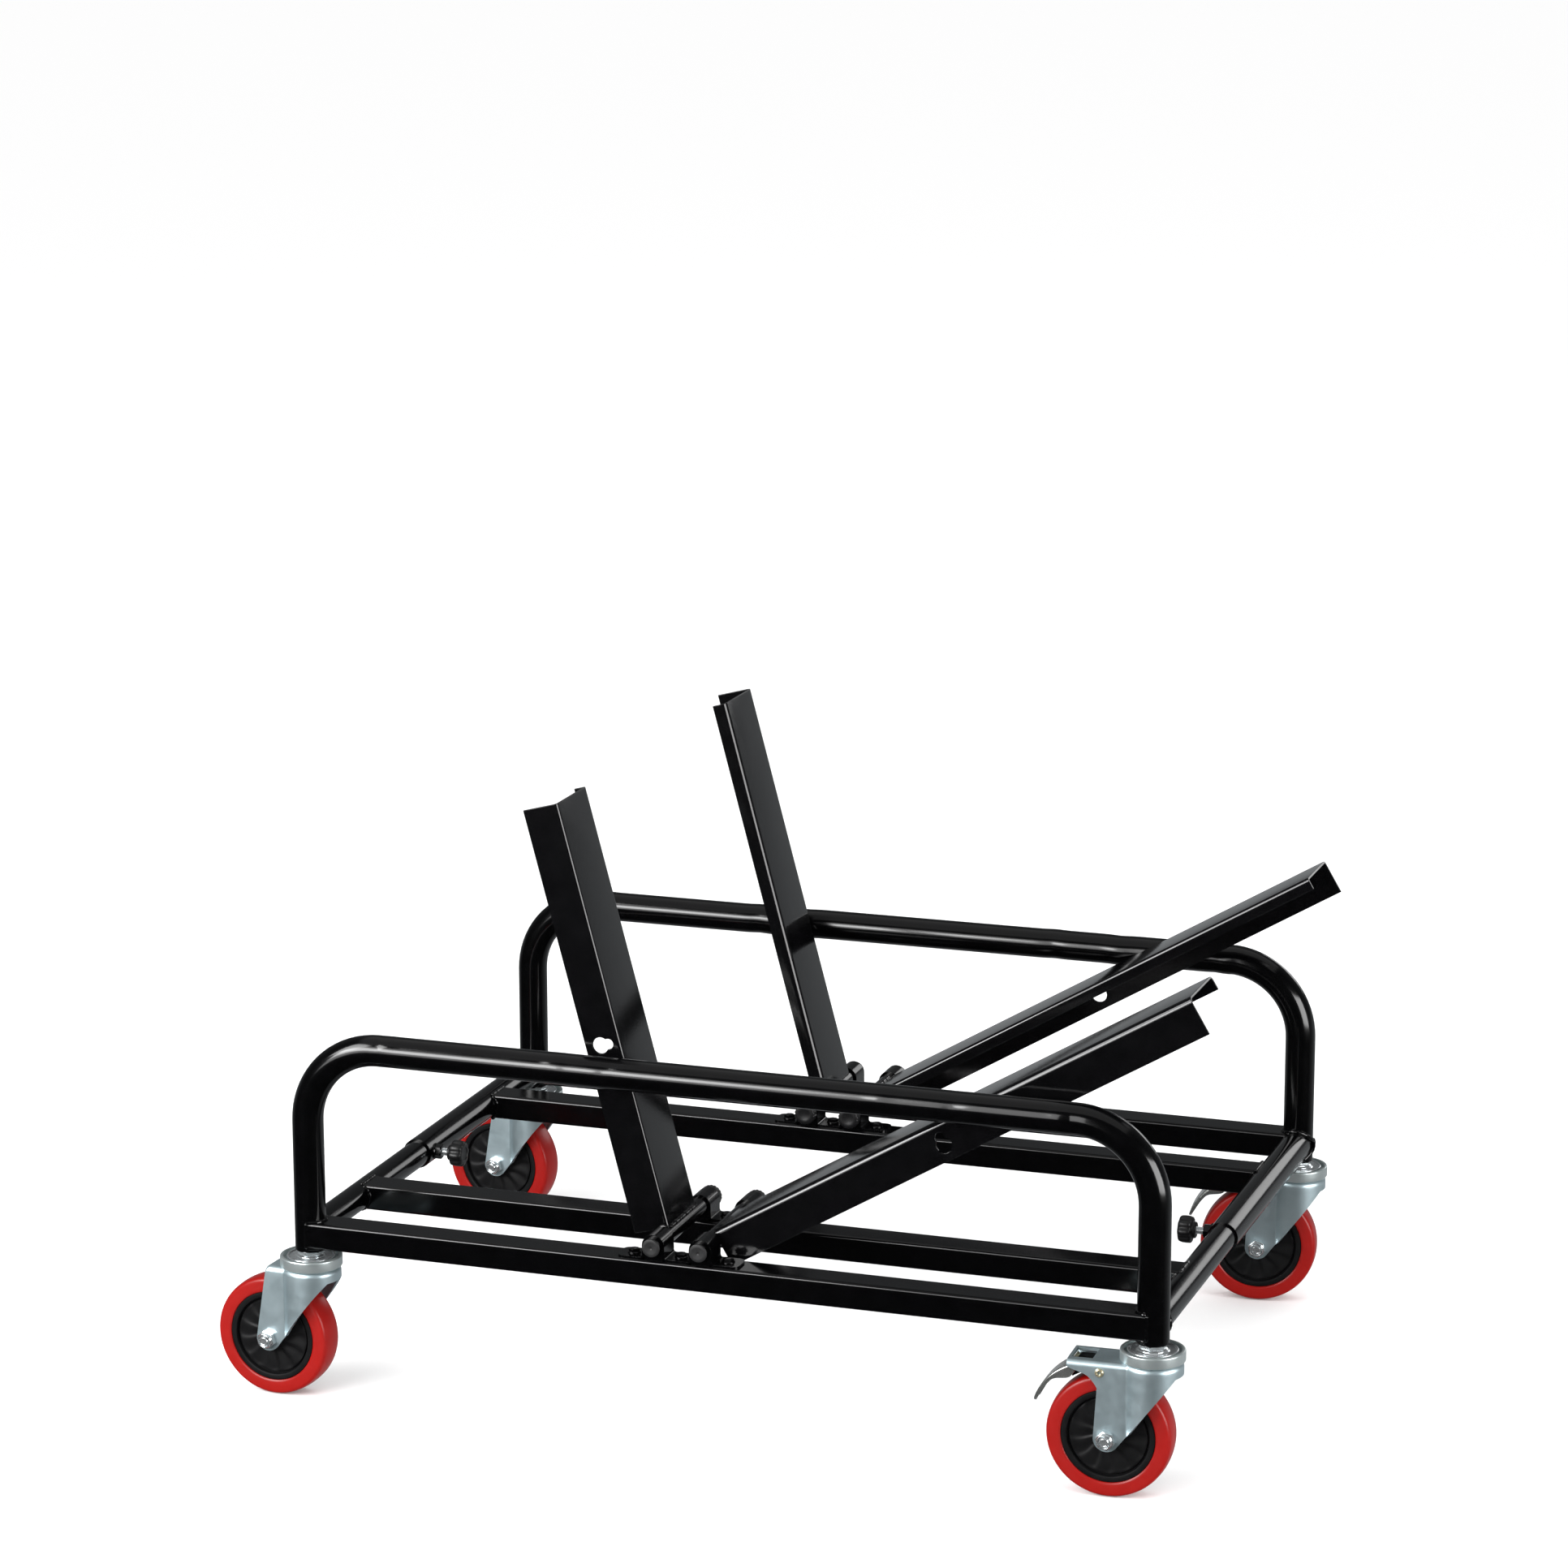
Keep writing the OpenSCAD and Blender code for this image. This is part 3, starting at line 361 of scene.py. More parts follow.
def soften(obj, width, steps, angle):
    """Rounded edges where faces meet at more than an angle."""
    edge = obj.modifiers.new("edge", "BEVEL")
    edge.width, edge.segments = width * MM, steps
    edge.limit_method, edge.angle_limit = "ANGLE", radians(angle)
    edge.harden_normals = True
    edge.use_clamp_overlap = True


def turned(axis, angle):
    return Matrix.Rotation(radians(angle), 4, axis)


def moved(x, y, z):
    return Matrix.Translation((x, y, z))


# Casters, each in its own frame: swivel axis on Z, wheel trailing towards -X

# Which of them have a brake
CASTERS = {"near_left": False, "near_right": True, "far_left": False, "far_right": True}
AXLE_X, AXLE_Z = -40.0, 63.0
FORK_TOP, FORK_OUT, FORK_T, FORK_BEND = 141.0, 23.0, 3.0, 6.0
WALL_TOP = FORK_TOP - FORK_BEND
# Round foot of a leg: radius, turn in degrees and steps of that turn
FOOT_R, FOOT_TURN, FOOT_STEPS = 13.0, 142.4, 16
HEEL_X = AXLE_X - FOOT_R
NECK_R, NECK_LOW, NECK_FRONT, NECK_STEPS = 30.5, 128.0, 26.4, 21
SLOPE = radians(52.4)
TOE_X = AXLE_X + FOOT_R * sin(SLOPE)
CREASE_R, CREASE_STEPS = 4.0, 6
CREASE_X = -sqrt((NECK_R + CREASE_R) ** 2 - (FORK_OUT + CREASE_R) ** 2)
# Back edge and corner of a leg's top without a brake, then where a leg runs into the brake hood
TAB_X, TAB_R = -42.1, 4.5
LEG_BACK_X, LEG_BACK_Z = -49.8, 114.2
HOOD_X, CHEEK_Z, CHEEK_FALL, CHEEK_HOLLOW = -80.0, 133.5, 9.6, 48.0
WINDOW = (-77.0, -56.0)
WINDOW_HALF = 14.0
LOW_ROWS, HIGH_ROWS, BEND_ROWS = 6, 4, 7


def caster_place(name):
    """Place of a caster's own frame, from its joints."""
    at = JOINTS[name + "_swivel"]["pos_m"]
    axis = JOINTS[name + "_wheel_spin"]["axis"]
    return moved(at[0] / MM, at[1] / MM, 0.0) @ Matrix.Rotation(atan2(-axis[0], axis[1]), 4, "Z")


def fork_low(x):
    """Lower edge of a fork's leg: round foot, then the sloping front edge."""
    if x <= TOE_X:
        return AXLE_Z - sqrt(max(FOOT_R ** 2 - (x - AXLE_X) ** 2, 0.0))
    return min(NECK_LOW, NECK_LOW - (NECK_FRONT - x) * tan(SLOPE))


def cheek_low(x):
    """Lower edge of the brake hood's cheek, hollow towards the leg."""
    t = (x - HOOD_X) / (LEG_BACK_X - HOOD_X)
    return CHEEK_Z - CHEEK_FALL * t ** 0.9 - CHEEK_HOLLOW * max(0.0, t - 0.55) ** 2


def fork_plan(start):
    """Stations (x, y, normal x, normal y) round one half of a fork from above, back to front."""
    stations = [(x, FORK_OUT, 0.0, 1.0) for x in start]
    meet = atan2(FORK_OUT + CREASE_R, CREASE_X)
    for k in range(1, CREASE_STEPS + 1):
        a = (meet - pi / 2.0) * k / CREASE_STEPS - pi / 2.0
        stations.append((CREASE_X + CREASE_R * cos(a), FORK_OUT + CREASE_R * (1.0 + sin(a)),
                         -cos(a), -sin(a)))
    for k in range(1, NECK_STEPS + 1):
        a = meet * (1.0 - k / NECK_STEPS)
        stations.append((NECK_R * cos(a), NECK_R * sin(a), cos(a), sin(a)))
    return stations


def fork_shape(hood):
    """Pressed sheet seen as its outer face: two legs, flared neck, rolled top edge and top plate."""
    back_x, back_z = (LEG_BACK_X, LEG_BACK_Z) if hood else (TAB_X, WALL_TOP - TAB_R)
    room = 0.4  # no other station comes closer to the back edge
    foot = [AXLE_X + FOOT_R * cos(radians(180.0 + FOOT_TURN * k / FOOT_STEPS))
            for k in range(FOOT_STEPS + 1)]
    leg_x = sorted([x for x in foot if x < back_x - room] + [back_x])
    corner = [] if hood else [back_x + TAB_R * t for t in (0.06, 0.2, 0.45, 0.75)]
    front_x = [x for x in foot if x > back_x + (room if hood else TAB_R)]
    main = fork_plan(sorted([back_x] + corner + front_x + [-25.0, CREASE_X - 0.6, CREASE_X]))
    cheek_x = [HOOD_X, HOOD_X + 1.0] + spaced(*WINDOW, 6) + [-53.5, -51.5, back_x]
    shape = Shape()

    def wall(x, y, low, high, rows):
        return [(x, y, z) for z in spaced(low, high, rows)]

    def drop(x):
        """How far the tab's rounded back corner lies below the top."""
        inside = TAB_R if hood else min(max(x - back_x, 0.0), TAB_R)
        return TAB_R - sqrt(TAB_R ** 2 - (TAB_R - inside) ** 2)

    def rolled(x, y, nx, ny):
        return [(x - nx * FORK_BEND * (1.0 - cos(a)), y - ny * FORK_BEND * (1.0 - cos(a)),
                 WALL_TOP - drop(x) + FORK_BEND * sin(a)) for a in arc(BEND_ROWS, 0.0, 90.0)[1:]]

    def split(x):
        low = fork_low(x)
        return max(LEG_BACK_Z, low + 0.4 * (WALL_TOP - low))

    def column(x, y, nx, ny):
        return (wall(x, y, fork_low(x), split(x), LOW_ROWS)
                + wall(x, y, split(x), WALL_TOP - drop(x), HIGH_ROWS)[1:]
                + rolled(x, y, nx, ny))

    def sheet(columns):
        for side in (1.0, -1.0):
            rows = len(columns[0])
            points = [(x, side * y, z) for points in columns for x, y, z in points]
            faces = [(k * rows + r, k * rows + r + 1, (k + 1) * rows + r + 1, (k + 1) * rows + r)
                     for k in range(len(columns) - 1) for r in range(rows - 1)]
            shape.add((points, faces))

    sheet([column(*station) for station in main])
    rise = (back_z - AXLE_Z) / (back_x - HEEL_X)
    if hood:
        sheet([wall(x, FORK_OUT, fork_low(x), AXLE_Z + (x - HEEL_X) * rise, LOW_ROWS) for x in leg_x])
        sheet([wall(x, FORK_OUT, cheek_low(x) if x < back_x else back_z, WALL_TOP, HIGH_ROWS)
               + rolled(x, FORK_OUT, 0.0, 1.0) for x in cheek_x])
    else:
        def leg_column(x):
            high = AXLE_Z + (x - HEEL_X) * rise
            mid = split(x) if x == back_x else fork_low(x) + 0.6 * (high - fork_low(x))
            return (wall(x, FORK_OUT, fork_low(x), mid, LOW_ROWS)
                    + wall(x, FORK_OUT, mid, high, HIGH_ROWS)[1:])

        sheet([leg_column(x) for x in leg_x])

    tops = [column(*station)[-1] for station in main]
    flat = tops[:len(main) - NECK_STEPS]
    if hood:
        flat = [rolled(x, FORK_OUT, 0.0, 1.0)[-1] for x in cheek_x[:-1]] + flat
    bands = [[(x, v, z) for v in (y, WINDOW_HALF, -WINDOW_HALF, -y)] for x, y, z in flat]
    for a, b in zip(bands, bands[1:]):
        open_band = hood and a[0][0] > WINDOW[0] - 0.1 and b[0][0] < WINDOW[1] + 0.1
        for k in (0, 2) if open_band else (0, 1, 2):
            shape.add(([a[k], b[k], b[k + 1], a[k + 1]], [(0, 1, 2, 3)]))
    rim = tops[len(main) - NECK_STEPS - 1:]
    last = rim[0]
    disc = (rim + [(x, -y, z) for x, y, z in reversed(rim[:-1])]
            + [(last[0], -WINDOW_HALF, last[2]), (last[0], WINDOW_HALF, last[2])])
    shape.add((disc, [tuple(range(len(disc)))]))
    return shape


def raceway_cap_shape():
    """Rolled cap on a fork's top plate, with a deep groove round the stem's plate."""
    return Shape().add(spun([(6.2, 141.1), (31.3, 141.1), (32.0, 141.9), (32.0, 152.5), (28.3, 152.5),
                             (28.1, 148.3), (25.6, 147.9), (6.2, 147.9)],
                            [0, 0.6, 0.5, 2.4, 0.9, 0.5, 0, 0], closed=True, steps=6))


def stem_form(shape, place):
    """Dished raceway plate, flanged hexagon collar and kingpin head under one leg."""
    plate = spun([(0.0, 148.4), (24.6, 148.4), (25.0, 148.8), (25.0, 152.2), (23.0, 152.2), (22.2, 150.9),
                  (16.4, 150.5), (15.2, 151.6), (0.0, 151.6)], [0, 0.2, 0.2, 0.8, 0.7, 0.8, 0.8, 0.5, 0])
    flange = spun([(0.0, 151.2), (14.4, 151.2), (14.8, 152.2), (12.6, 153.4), (0.0, 153.4)],
                  [0, 0.4, 0.5, 0.4, 0])
    head = spun([(0.0, 134.7), (9.0, 134.7), (12.0, 136.4), (12.0, 137.7), (0.0, 137.7)],
                [0, 1.5, 1.0, 0.3, 0])
    for form in (plate, flange, head, nut(24.0, 152.8, 158.0)):
        shape.add(form, place)


def axle_shape():
    """Bolt with hexagon head, lock nut with its collar, and the bush inside the fork."""
    shape = Shape()
    nut_side = moved(AXLE_X, 0.0, AXLE_Z) @ turned("X", 90.0) @ turned("Z", 12.0)
    head_side = moved(AXLE_X, 0.0, AXLE_Z) @ turned("X", -90.0) @ turned("Z", 20.0)
    shape.add(nut(17.0, 23.05, 29.6, bore=5.05), nut_side)
    collar = spun([(5.05, 29.0), (8.0, 29.0), (7.8, 31.3), (7.0, 32.5), (6.3, 32.5), (6.2, 31.2),
                   (5.05, 31.0)], [0, 0, 0.9, 0.7, 0.3, 0.3, 0], closed=True)
    shape.add(collar, nut_side)
    bolt = [(0.0, -20.0), (5.0, -20.0), (5.0, 30.6)]
    for k in range(3):
        bolt += [(4.98, 30.8 + k), (4.5, 31.3 + k)]
    bolt += [(4.3, 33.7), (3.6, 33.9), (3.0, 33.6), (1.6, 33.55), (0.0, 33.7)]
    shape.add(lathe(bolt, 48), nut_side)
    shape.add(nut(17.0, 23.05, 29.6), head_side)
    dish = spun([(0.0, 29.0), (6.6, 29.0), (6.6, 30.0), (5.4, 30.0), (4.6, 29.5), (0.0, 29.5)],
                [0, 0, 0.3, 0.3, 0.3, 0], 48)
    shape.add(dish, head_side)
    bush = spun([(5.05, 12.0), (7.0, 12.0), (7.0, 19.98), (5.05, 19.98)], [0, 0, 0.3, 0], 48, closed=True)
    for side in (nut_side, head_side):
        shape.add(bush, side)
    return shape


# Fan on a hub: number of blades, their height, how far they curl and where one is highest
BLADES, BLADE_H, BLADE_CURL, BLADE_CREST = 12, 1.1, 0.22, 0.72


def hub_shape():
    """Moulded hub: boss, fan of shallow blades, groove and plain rim on both faces."""
    turns = full_turn(BLADES * 12)
    # radius, height and share of the blades
    section = [(7.1, 0.0, 0.0), (7.1, 17.4, 0.0), (7.6, 18.0, 0.0), (12.3, 18.0, 0.0), (13.0, 17.3, 0.0),
               (13.3, 13.4, 0.3), (14.5, 12.6, 0.8)]
    section += [(r, 12.1, 1.0) for r in spaced(17.0, 34.5, 7)]
    section += [(36.5, 12.2, 0.9), (38.0, 12.4, 0.5), (38.7, 12.2, 0.0), (39.0, 11.4, 0.0),
                (39.1, 10.0, 0.0), (40.9, 10.0, 0.0), (41.0, 13.9, 0.0), (41.5, 14.7, 0.0),
                (42.4, 15.0, 0.0), (45.6, 15.0, 0.0), (46.6, 14.8, 0.0), (47.0, 14.2, 0.0), (47.0, 0.0, 0.0)]

    def blade(a, r):
        u = (a * BLADES / (2.0 * pi) + BLADE_CURL * sin((r - 14.0) / 9.0)) % 1.0
        step = u / BLADE_CREST if u < BLADE_CREST else (1.0 - u) / (1.0 - BLADE_CREST)
        return BLADE_H * (step * step * (3.0 - 2.0 * step) - 0.55)

    shape = Shape()
    for side in (1.0, -1.0):
        shape.add(skin([[(r * cos(a), side * (z + w * blade(a * side, r)), r * sin(a))
                         for a in turns] for r, z, w in section]))
    return shape


def tyre_shape():
    """Tyre with flat flanks and a slightly crowned tread."""
    half = [(47.03, 13.0), (47.3, 14.9), (48.2, 15.7), (49.8, 16.0), (57.6, 16.0), (59.3, 15.7),
            (60.6, 14.9), (61.5, 13.6), (62.05, 11.8), (62.45, 9.0), (62.8, 5.0), (63.0, 0.0)]
    ring = half + [(r, -z) for r, z in reversed(half[:-1])]
    return Shape().add(lathe(ring + ring[:1], 120), turned("X", 90.0))


# Pedal: flat plate under the hood, then a bowed tongue; rows run from the front to the tip
PEDAL_FRONT, PEDAL_TOP, PEDAL_T = -41.5, 135.2, 2.2
PEDAL_HALF, PEDAL_TAPER, PEDAL_SKIRT = 16.0, 3.0, 7.0
PEDAL_ROOT, PEDAL_TIP, PEDAL_BOW = Vector((-80.0, 132.0)), Vector((-116.0, 91.0)), 0.44
PLATE_ROWS, PLATE_STEP, TONGUE_ROWS, TIP_ROWS = 15, 2.5, 24, 6
# First row and number of rows in which the sides fold down, and in which the skirt fades
FOLD_ROWS, SKIRT_ROWS = (12, 3), (16, 9)
# First and last row of the plate's window, and columns of points on each side of it
PEDAL_WINDOW, PEDAL_STRIP = (6, 13), 5
# Folded edge from the rim inwards: share of the half width, fall of the top face, then inset and
# fall of the lower face
PEDAL_EDGE = [(1.0, 4.2, 2.0, 4.2), (1.0, 2.4, 2.0, 3.4), (1.0, 1.4, 1.9, 2.6), (0.98, 0.5, 1.4, 2.3),
              (0.93, 0.1, 0.7, 2.2), (0.5, 0.0, 0.0, 2.2)]


def pedal_path():
    """Upper line of a pedal seen from the side."""
    path = [Vector((PEDAL_FRONT - PLATE_STEP * k, PEDAL_TOP - 0.09 * max(0, k - 9) ** 2))
            for k in range(PLATE_ROWS)]
    chord = PEDAL_TIP - PEDAL_ROOT
    bow = Vector((chord.y, -chord.x)).normalized() * PEDAL_BOW * chord.length
    for k in range(1, TONGUE_ROWS + 1):
        t = k / TONGUE_ROWS
        path.append(PEDAL_ROOT + chord * t + bow * t * (1.0 - t))
    return path


def share(row, first, rows):
    """How far a row lies along a run of rows, from 0 to 1."""
    return min(1.0, max(0.0, (row - first) / rows))


def pedal_shape():
    """Brake pedal: plate with a window under the hood, and a drooping tongue with turned-down sides."""
    path = pedal_path()
    count = len(path)
    across = [(-s, *rest) for s, *rest in PEDAL_EDGE] + [(0.0, 0.0, 0.0, PEDAL_T)] + PEDAL_EDGE[::-1]
    tops, bottoms = [], []
    for i, at in enumerate(path):
        along = (path[min(i + 1, count - 1)] - path[max(i - 1, 0)]).normalized()
        up = Vector((along.y, -along.x))
        near_tip = share(i, count - 1 - TIP_ROWS, TIP_ROWS)
        half = PEDAL_HALF - PEDAL_TAPER * share(i, PLATE_ROWS - 1, TONGUE_ROWS)
        half *= 1.0 - 0.42 * near_tip ** 3
        fold = share(i, *FOLD_ROWS) * (1.0 - 0.7 * near_tip ** 2)
        skirt = PEDAL_SKIRT * (0.5 + 0.5 * cos(pi * share(i, *SKIRT_ROWS)))
        top, bottom = [], []
        for k, (s, fall, inset, low) in enumerate(across):
            y = s * half
            if k in (0, len(across) - 1):
                fall, low = fall + skirt, low + skirt
            a, b = at - up * fall * fold, at - up * (PEDAL_T + (low - PEDAL_T) * fold)
            top.append((a.x, y, a.y))
            bottom.append((b.x, y - copysign(inset * fold, y), b.y))
        tops.append(top)
        bottoms.append(bottom)
    shape = Shape()
    first, last = PEDAL_WINDOW
    shape.add(slab(tops[:first + 1], bottoms[:first + 1]))
    shape.add(slab(tops[last:], bottoms[last:]))
    for strip in (slice(None, PEDAL_STRIP), slice(-PEDAL_STRIP, None)):
        shape.add(slab([row[strip] for row in tops[first:last + 1]],
                       [row[strip] for row in bottoms[first:last + 1]]))
    return shape


def spring_shape():
    """Flat return spring standing up at the back of the hood's window."""
    side = fillet([(-71.5, 133.2), (-71.5, 135.85), (-75.6, 135.85), (-76.4, 137.7), (-77.1, 137.7),
                   (-76.3, 133.2)], [0.1, 0.2, 0.6, 0.2, 0.2, 1.0])
    return Shape().add(prism(side, -12.0, 12.0), turned("X", 90.0))


PAD_BACK, PAD_FRONT, PAD_TOP, PAD_HALF = -77.0, -62.0, 132.9, 11.2
# Radius of the pad's lower face about the axle
PAD_R = 67.6


def pad_shape():
    """Brake pad: block whose lower face follows the tyre, with a boss up through the pedal, made large and
    black so that it fills the hood's window as painted shade.
    """
    curve = [(x, AXLE_Z + sqrt(PAD_R ** 2 - (x - AXLE_X) ** 2))
             for x in spaced(PAD_BACK, PAD_FRONT, 12)]
    outline = fillet([(PAD_FRONT, PAD_TOP), (PAD_BACK, PAD_TOP)] + curve,
                     [1.0, 2.0, 1.2] + [0.0] * 11 + [0.6])
    shape = Shape().add(prism(outline, -PAD_HALF, PAD_HALF), turned("X", 90.0))
    # the stud, enlarged to fill the hood's window from below so that it reads dark: painted shade
    boss = fillet([(-73.6, -13.2), (-57.4, -13.2), (-57.4, 13.2), (-73.6, 13.2)], 2.0)
    return shape.add(prism(boss, 132.5, 136.6))


RIVET_X, RIVET_Z = -47.5, 130.0


def rivet_shape():
    """Tubular rivet with rolled heads on both cheeks."""
    shape = Shape()
    head = spun([(1.8, 20.0), (1.8, 24.8), (3.0, 24.9), (4.5, 23.8), (4.5, 23.02), (3.0, 23.02),
                 (3.0, 20.0)], [0, 0.4, 0.8, 0.7, 0.1, 0, 0], 40, closed=True)
    for side in (90.0, -90.0):
        place = moved(RIVET_X, 0.0, RIVET_Z) @ turned("X", side)
        shape.add(head, place)
        shape.add(lathe([(0.0, 0.0), (3.0, 0.0), (3.0, 22.0), (1.8, 22.0), (0.0, 22.4)], 40), place)
    return shape


for name, hood in CASTERS.items():
    place = caster_place(name)
    body, wheel = name + "_caster", name + "_wheel"
    piece(name + "_fork_shell", fork_shape(hood), ZINC, body, [name + "_fork"], place,
          smooth=50.0, bevel=0.5, thick=FORK_T)
    piece(name + "_raceway_cap", raceway_cap_shape(), DULL, body, (), place)
    piece(name + "_axle_set", axle_shape(), BRIGHT, body, [name + "_axle"], place)
    wheel_place = place @ moved(AXLE_X, 0.0, AXLE_Z)
    piece(name + "_hub_core", hub_shape(), HUB, wheel, [name + "_hub"], wheel_place)
    piece(name + "_tyre_ring", tyre_shape(), RED, wheel, [name + "_tyre"], wheel_place)
    if hood:
        brake = name + "_brake"
        piece(name + "_pedal_tongue", pedal_shape(), PEDAL_PAINTED_SHADE, brake, [name + "_brake_pedal"], place,
              smooth=50.0)
        piece(name + "_pad_and_window_shade", pad_shape(), RUBBER_AND_PAINTED_SHADE, brake, [name + "_brake_pad"],
              place, bevel=0.4)
        piece(name + "_return_spring", spring_shape(), BRASSY, brake, (), place, bevel=0.15)
        piece(name + "_tubular_rivet", rivet_shape(), BRASSY, body, [name + "_brake_rivet"], place)

for side in ("near", "far"):
    stems = Shape()
    for end in ("left", "right"):
        stem_form(stems, caster_place(side + "_" + end))
    piece(side + "_stem_set", stems, BRIGHT, side + "_frame", [side + "_caster_stems"])


# Side frames, in the trolley's own frame

SIDES = {"near": -1.0, "far": 1.0}
LEGS = {end: JOINTS["near_" + end + "_swivel"]["pos_m"][0] / MM for end in ("left", "right")}
LEG_Y, INNER_Y = 307.0, 171.0
TUBE_R, LEG_LOW, BAR_Z, BEND_R = 16.0, 158.0, 375.0, 80.0
# Tube wall, rounding of a leg's lower end, and how far its bore is seen into
TUBE_WALL, TUBE_EDGE, TUBE_DEPTH = 2.0, 0.6, 29.0
RAIL_TOP, RAIL_MID, RAIL_HALF = 190.0, 176.5, 17.0
RAIL_LOW = 2.0 * RAIL_MID - RAIL_TOP
SLIDE_R, SLEEVE_R = 14.0, 16.0
# Slight waves that bending left in the bar: place along it, depth and reach; then their lean
BAR_WAVES = [(-334.0, -0.8, 10.0), (-322.0, 0.6, 8.0), (-141.0, 0.95, 9.0), (-86.0, -0.95, 10.0),
             (198.0, 0.8, 9.0), (272.0, -0.95, 11.0), (378.0, 0.6, 8.0), (391.0, -0.8, 10.0)]
WAVE_OUT, WAVE_UP = 0.91, 0.42


def hoop_shape(y, facing):
    """Bent tube of a side frame: two legs and the bar between them."""
    left, right = LEGS["left"], LEGS["right"]
    bend_z = BAR_Z - BEND_R
    heights = spaced(LEG_LOW + TUBE_EDGE, bend_z, 8)

    def bend(x, first, last):
        return [(x + BEND_R * cos(a), y, bend_z + BEND_R * sin(a))
                for a in arc(18, first, last)[1:]]

    path = [(left, y, z) for z in heights] + bend(left + BEND_R, 180.0, 90.0)
    for x in spaced(left + BEND_R, right - BEND_R, 180)[1:]:
        push = sum(d * exp(-((x - at) / reach) ** 2) for at, d, reach in BAR_WAVES)
        path.append((x, y + facing * WAVE_OUT * push, BAR_Z + WAVE_UP * push))
    path += bend(right - BEND_R, 90.0, 0.0) + [(right, y, z) for z in reversed(heights[:-1])]
    inside = TUBE_R - TUBE_WALL
    ends = [(inside, TUBE_DEPTH), (inside, -TUBE_EDGE), (TUBE_R - TUBE_EDGE, -TUBE_EDGE)]
    return Shape().add(sweep(path, TUBE_R, 56, ends=ends))


# Weld beads: length of a step, then ripples and radius of the ends as shares of the size
BEAD_STEP, BEAD_RIPPLE, BEAD_END = 0.9, 0.045, 0.4


def bead(path, size, closed=False, pitch=4.8, flow=0.0):
    """Weld bead along a path, with ripples of a given pitch; flow shifts them."""
    path = [Vector(p) for p in path]
    fine = []
    for a, b in zip(path, path[1:] + path[:1] if closed else path[1:]):
        parts = max(1, int((b - a).length / BEAD_STEP))
        fine += [a.lerp(b, k / parts) for k in range(parts)]
    if not closed:
        fine.append(path[-1])
    run, radii = 0.0, []
    for i, at in enumerate(fine):
        run += (at - fine[i - 1]).length if i else 0.0
        turn = 2.0 * pi * run / pitch
        wave = (sin(turn + flow) + 1.3 * sin(turn / 2.7 + 2.0 * flow)
                + 0.8 * sin(turn / 1.7 + 3.0 * flow))
        radii.append(size * (1.0 + BEAD_RIPPLE * wave))
    if not closed:
        radii[0] = radii[-1] = size * BEAD_END
    return sweep(fine, radii, 10, closed=closed)


# Beads round a leg at a rail's top and bottom: stand-off and half their turn in degrees
RING_OFF, RING_TURN = 0.4, 78.0
# Upright beads beside a leg: distance from its axis along the rail and across it
SEAM_X, SEAM_Y = 2.4, 16.6


def frame_welds(side):
    """Beads where legs, rails and end tubes of one side frame meet."""
    way = SIDES[side]
    # beads on a sleeve stay clear of its bore
    end_r = SLIDE_R if side == "near" else SLEEVE_R + 0.9
    ring_r = TUBE_R + RING_OFF
    reach = RAIL_TOP - RAIL_MID
    chord = sqrt(end_r ** 2 - reach ** 2)
    y, inner_y = way * LEG_Y, way * INNER_Y
    shape = Shape()
    for end, leg in LEGS.items():
        inward = 1.0 if end == "left" else -1.0
        flow = leg * 0.01 + way
        for z in (RAIL_TOP, RAIL_LOW):
            ring = [(leg + inward * ring_r * cos(a), y + ring_r * sin(a), z)
                    for a in arc(24, -RING_TURN, RING_TURN)]
            shape.add(bead(ring, 2.3, flow=flow))
        for face in (-1.0, 1.0):
            seam = [(leg + inward * SEAM_X, y + face * SEAM_Y, z) for z in spaced(RAIL_LOW, RAIL_TOP, 6)]
            shape.add(bead(seam, 1.7, flow=flow + face))
        saddle = []
        for a in arc(40, 0.0, 351.0):
            x, z = end_r * cos(a), end_r * sin(a)
            saddle.append((leg + 1.01 * x, way * (LEG_Y - sqrt(max(TUBE_R ** 2 - x * x, 0.0)) - 0.3),
                           RAIL_MID + 1.01 * z))
        shape.add(bead(saddle, 2.5, closed=True, flow=flow))
        for z in (RAIL_TOP, RAIL_LOW):
            shape.add(bead([(leg + inward * (chord + 0.6), inner_y + t, z)
                            for t in spaced(-RAIL_HALF, RAIL_HALF, 8)], 2.0, flow=flow))
        for face in (-1.0, 1.0):
            seam = [(leg + inward * sqrt(end_r ** 2 - t * t), inner_y + face * RAIL_HALF, RAIL_MID + t)
                    for t in spaced(-reach + 1.0, reach - 1.0, 8)]
            shape.add(bead(seam, 1.8, flow=flow + face))
    return shape


for side, way in SIDES.items():
    body = side + "_frame"
    piece(side + "_hoop_tube", hoop_shape(way * LEG_Y, way), PAINT, body, [side + "_hoop"])
    piece(side + "_frame_welds", frame_welds(side), PAINT, body, smooth=60.0)


# Clamp knobs

STUD_Y = -16.0
# Number of lobes on a grip and depth of the hollows between them
LOBES, LOBE_DEPTH = 8, 1.9
# Stud: crest and groove of its thread, and the thread's pitch
CREST_R, GROOVE_R, THREAD_PITCH = 3.98, 3.45, 1.25
# Radius of the bead round a clamp nut's foot
NUT_SEAT_R = 7.3


def knob_place(end):
    """Frame of a clamp: Z from the end tube's axis out along the stud."""
    return moved(LEGS[end], STUD_Y, RAIL_MID) @ turned("Y", 90.0 if end == "left" else -90.0)


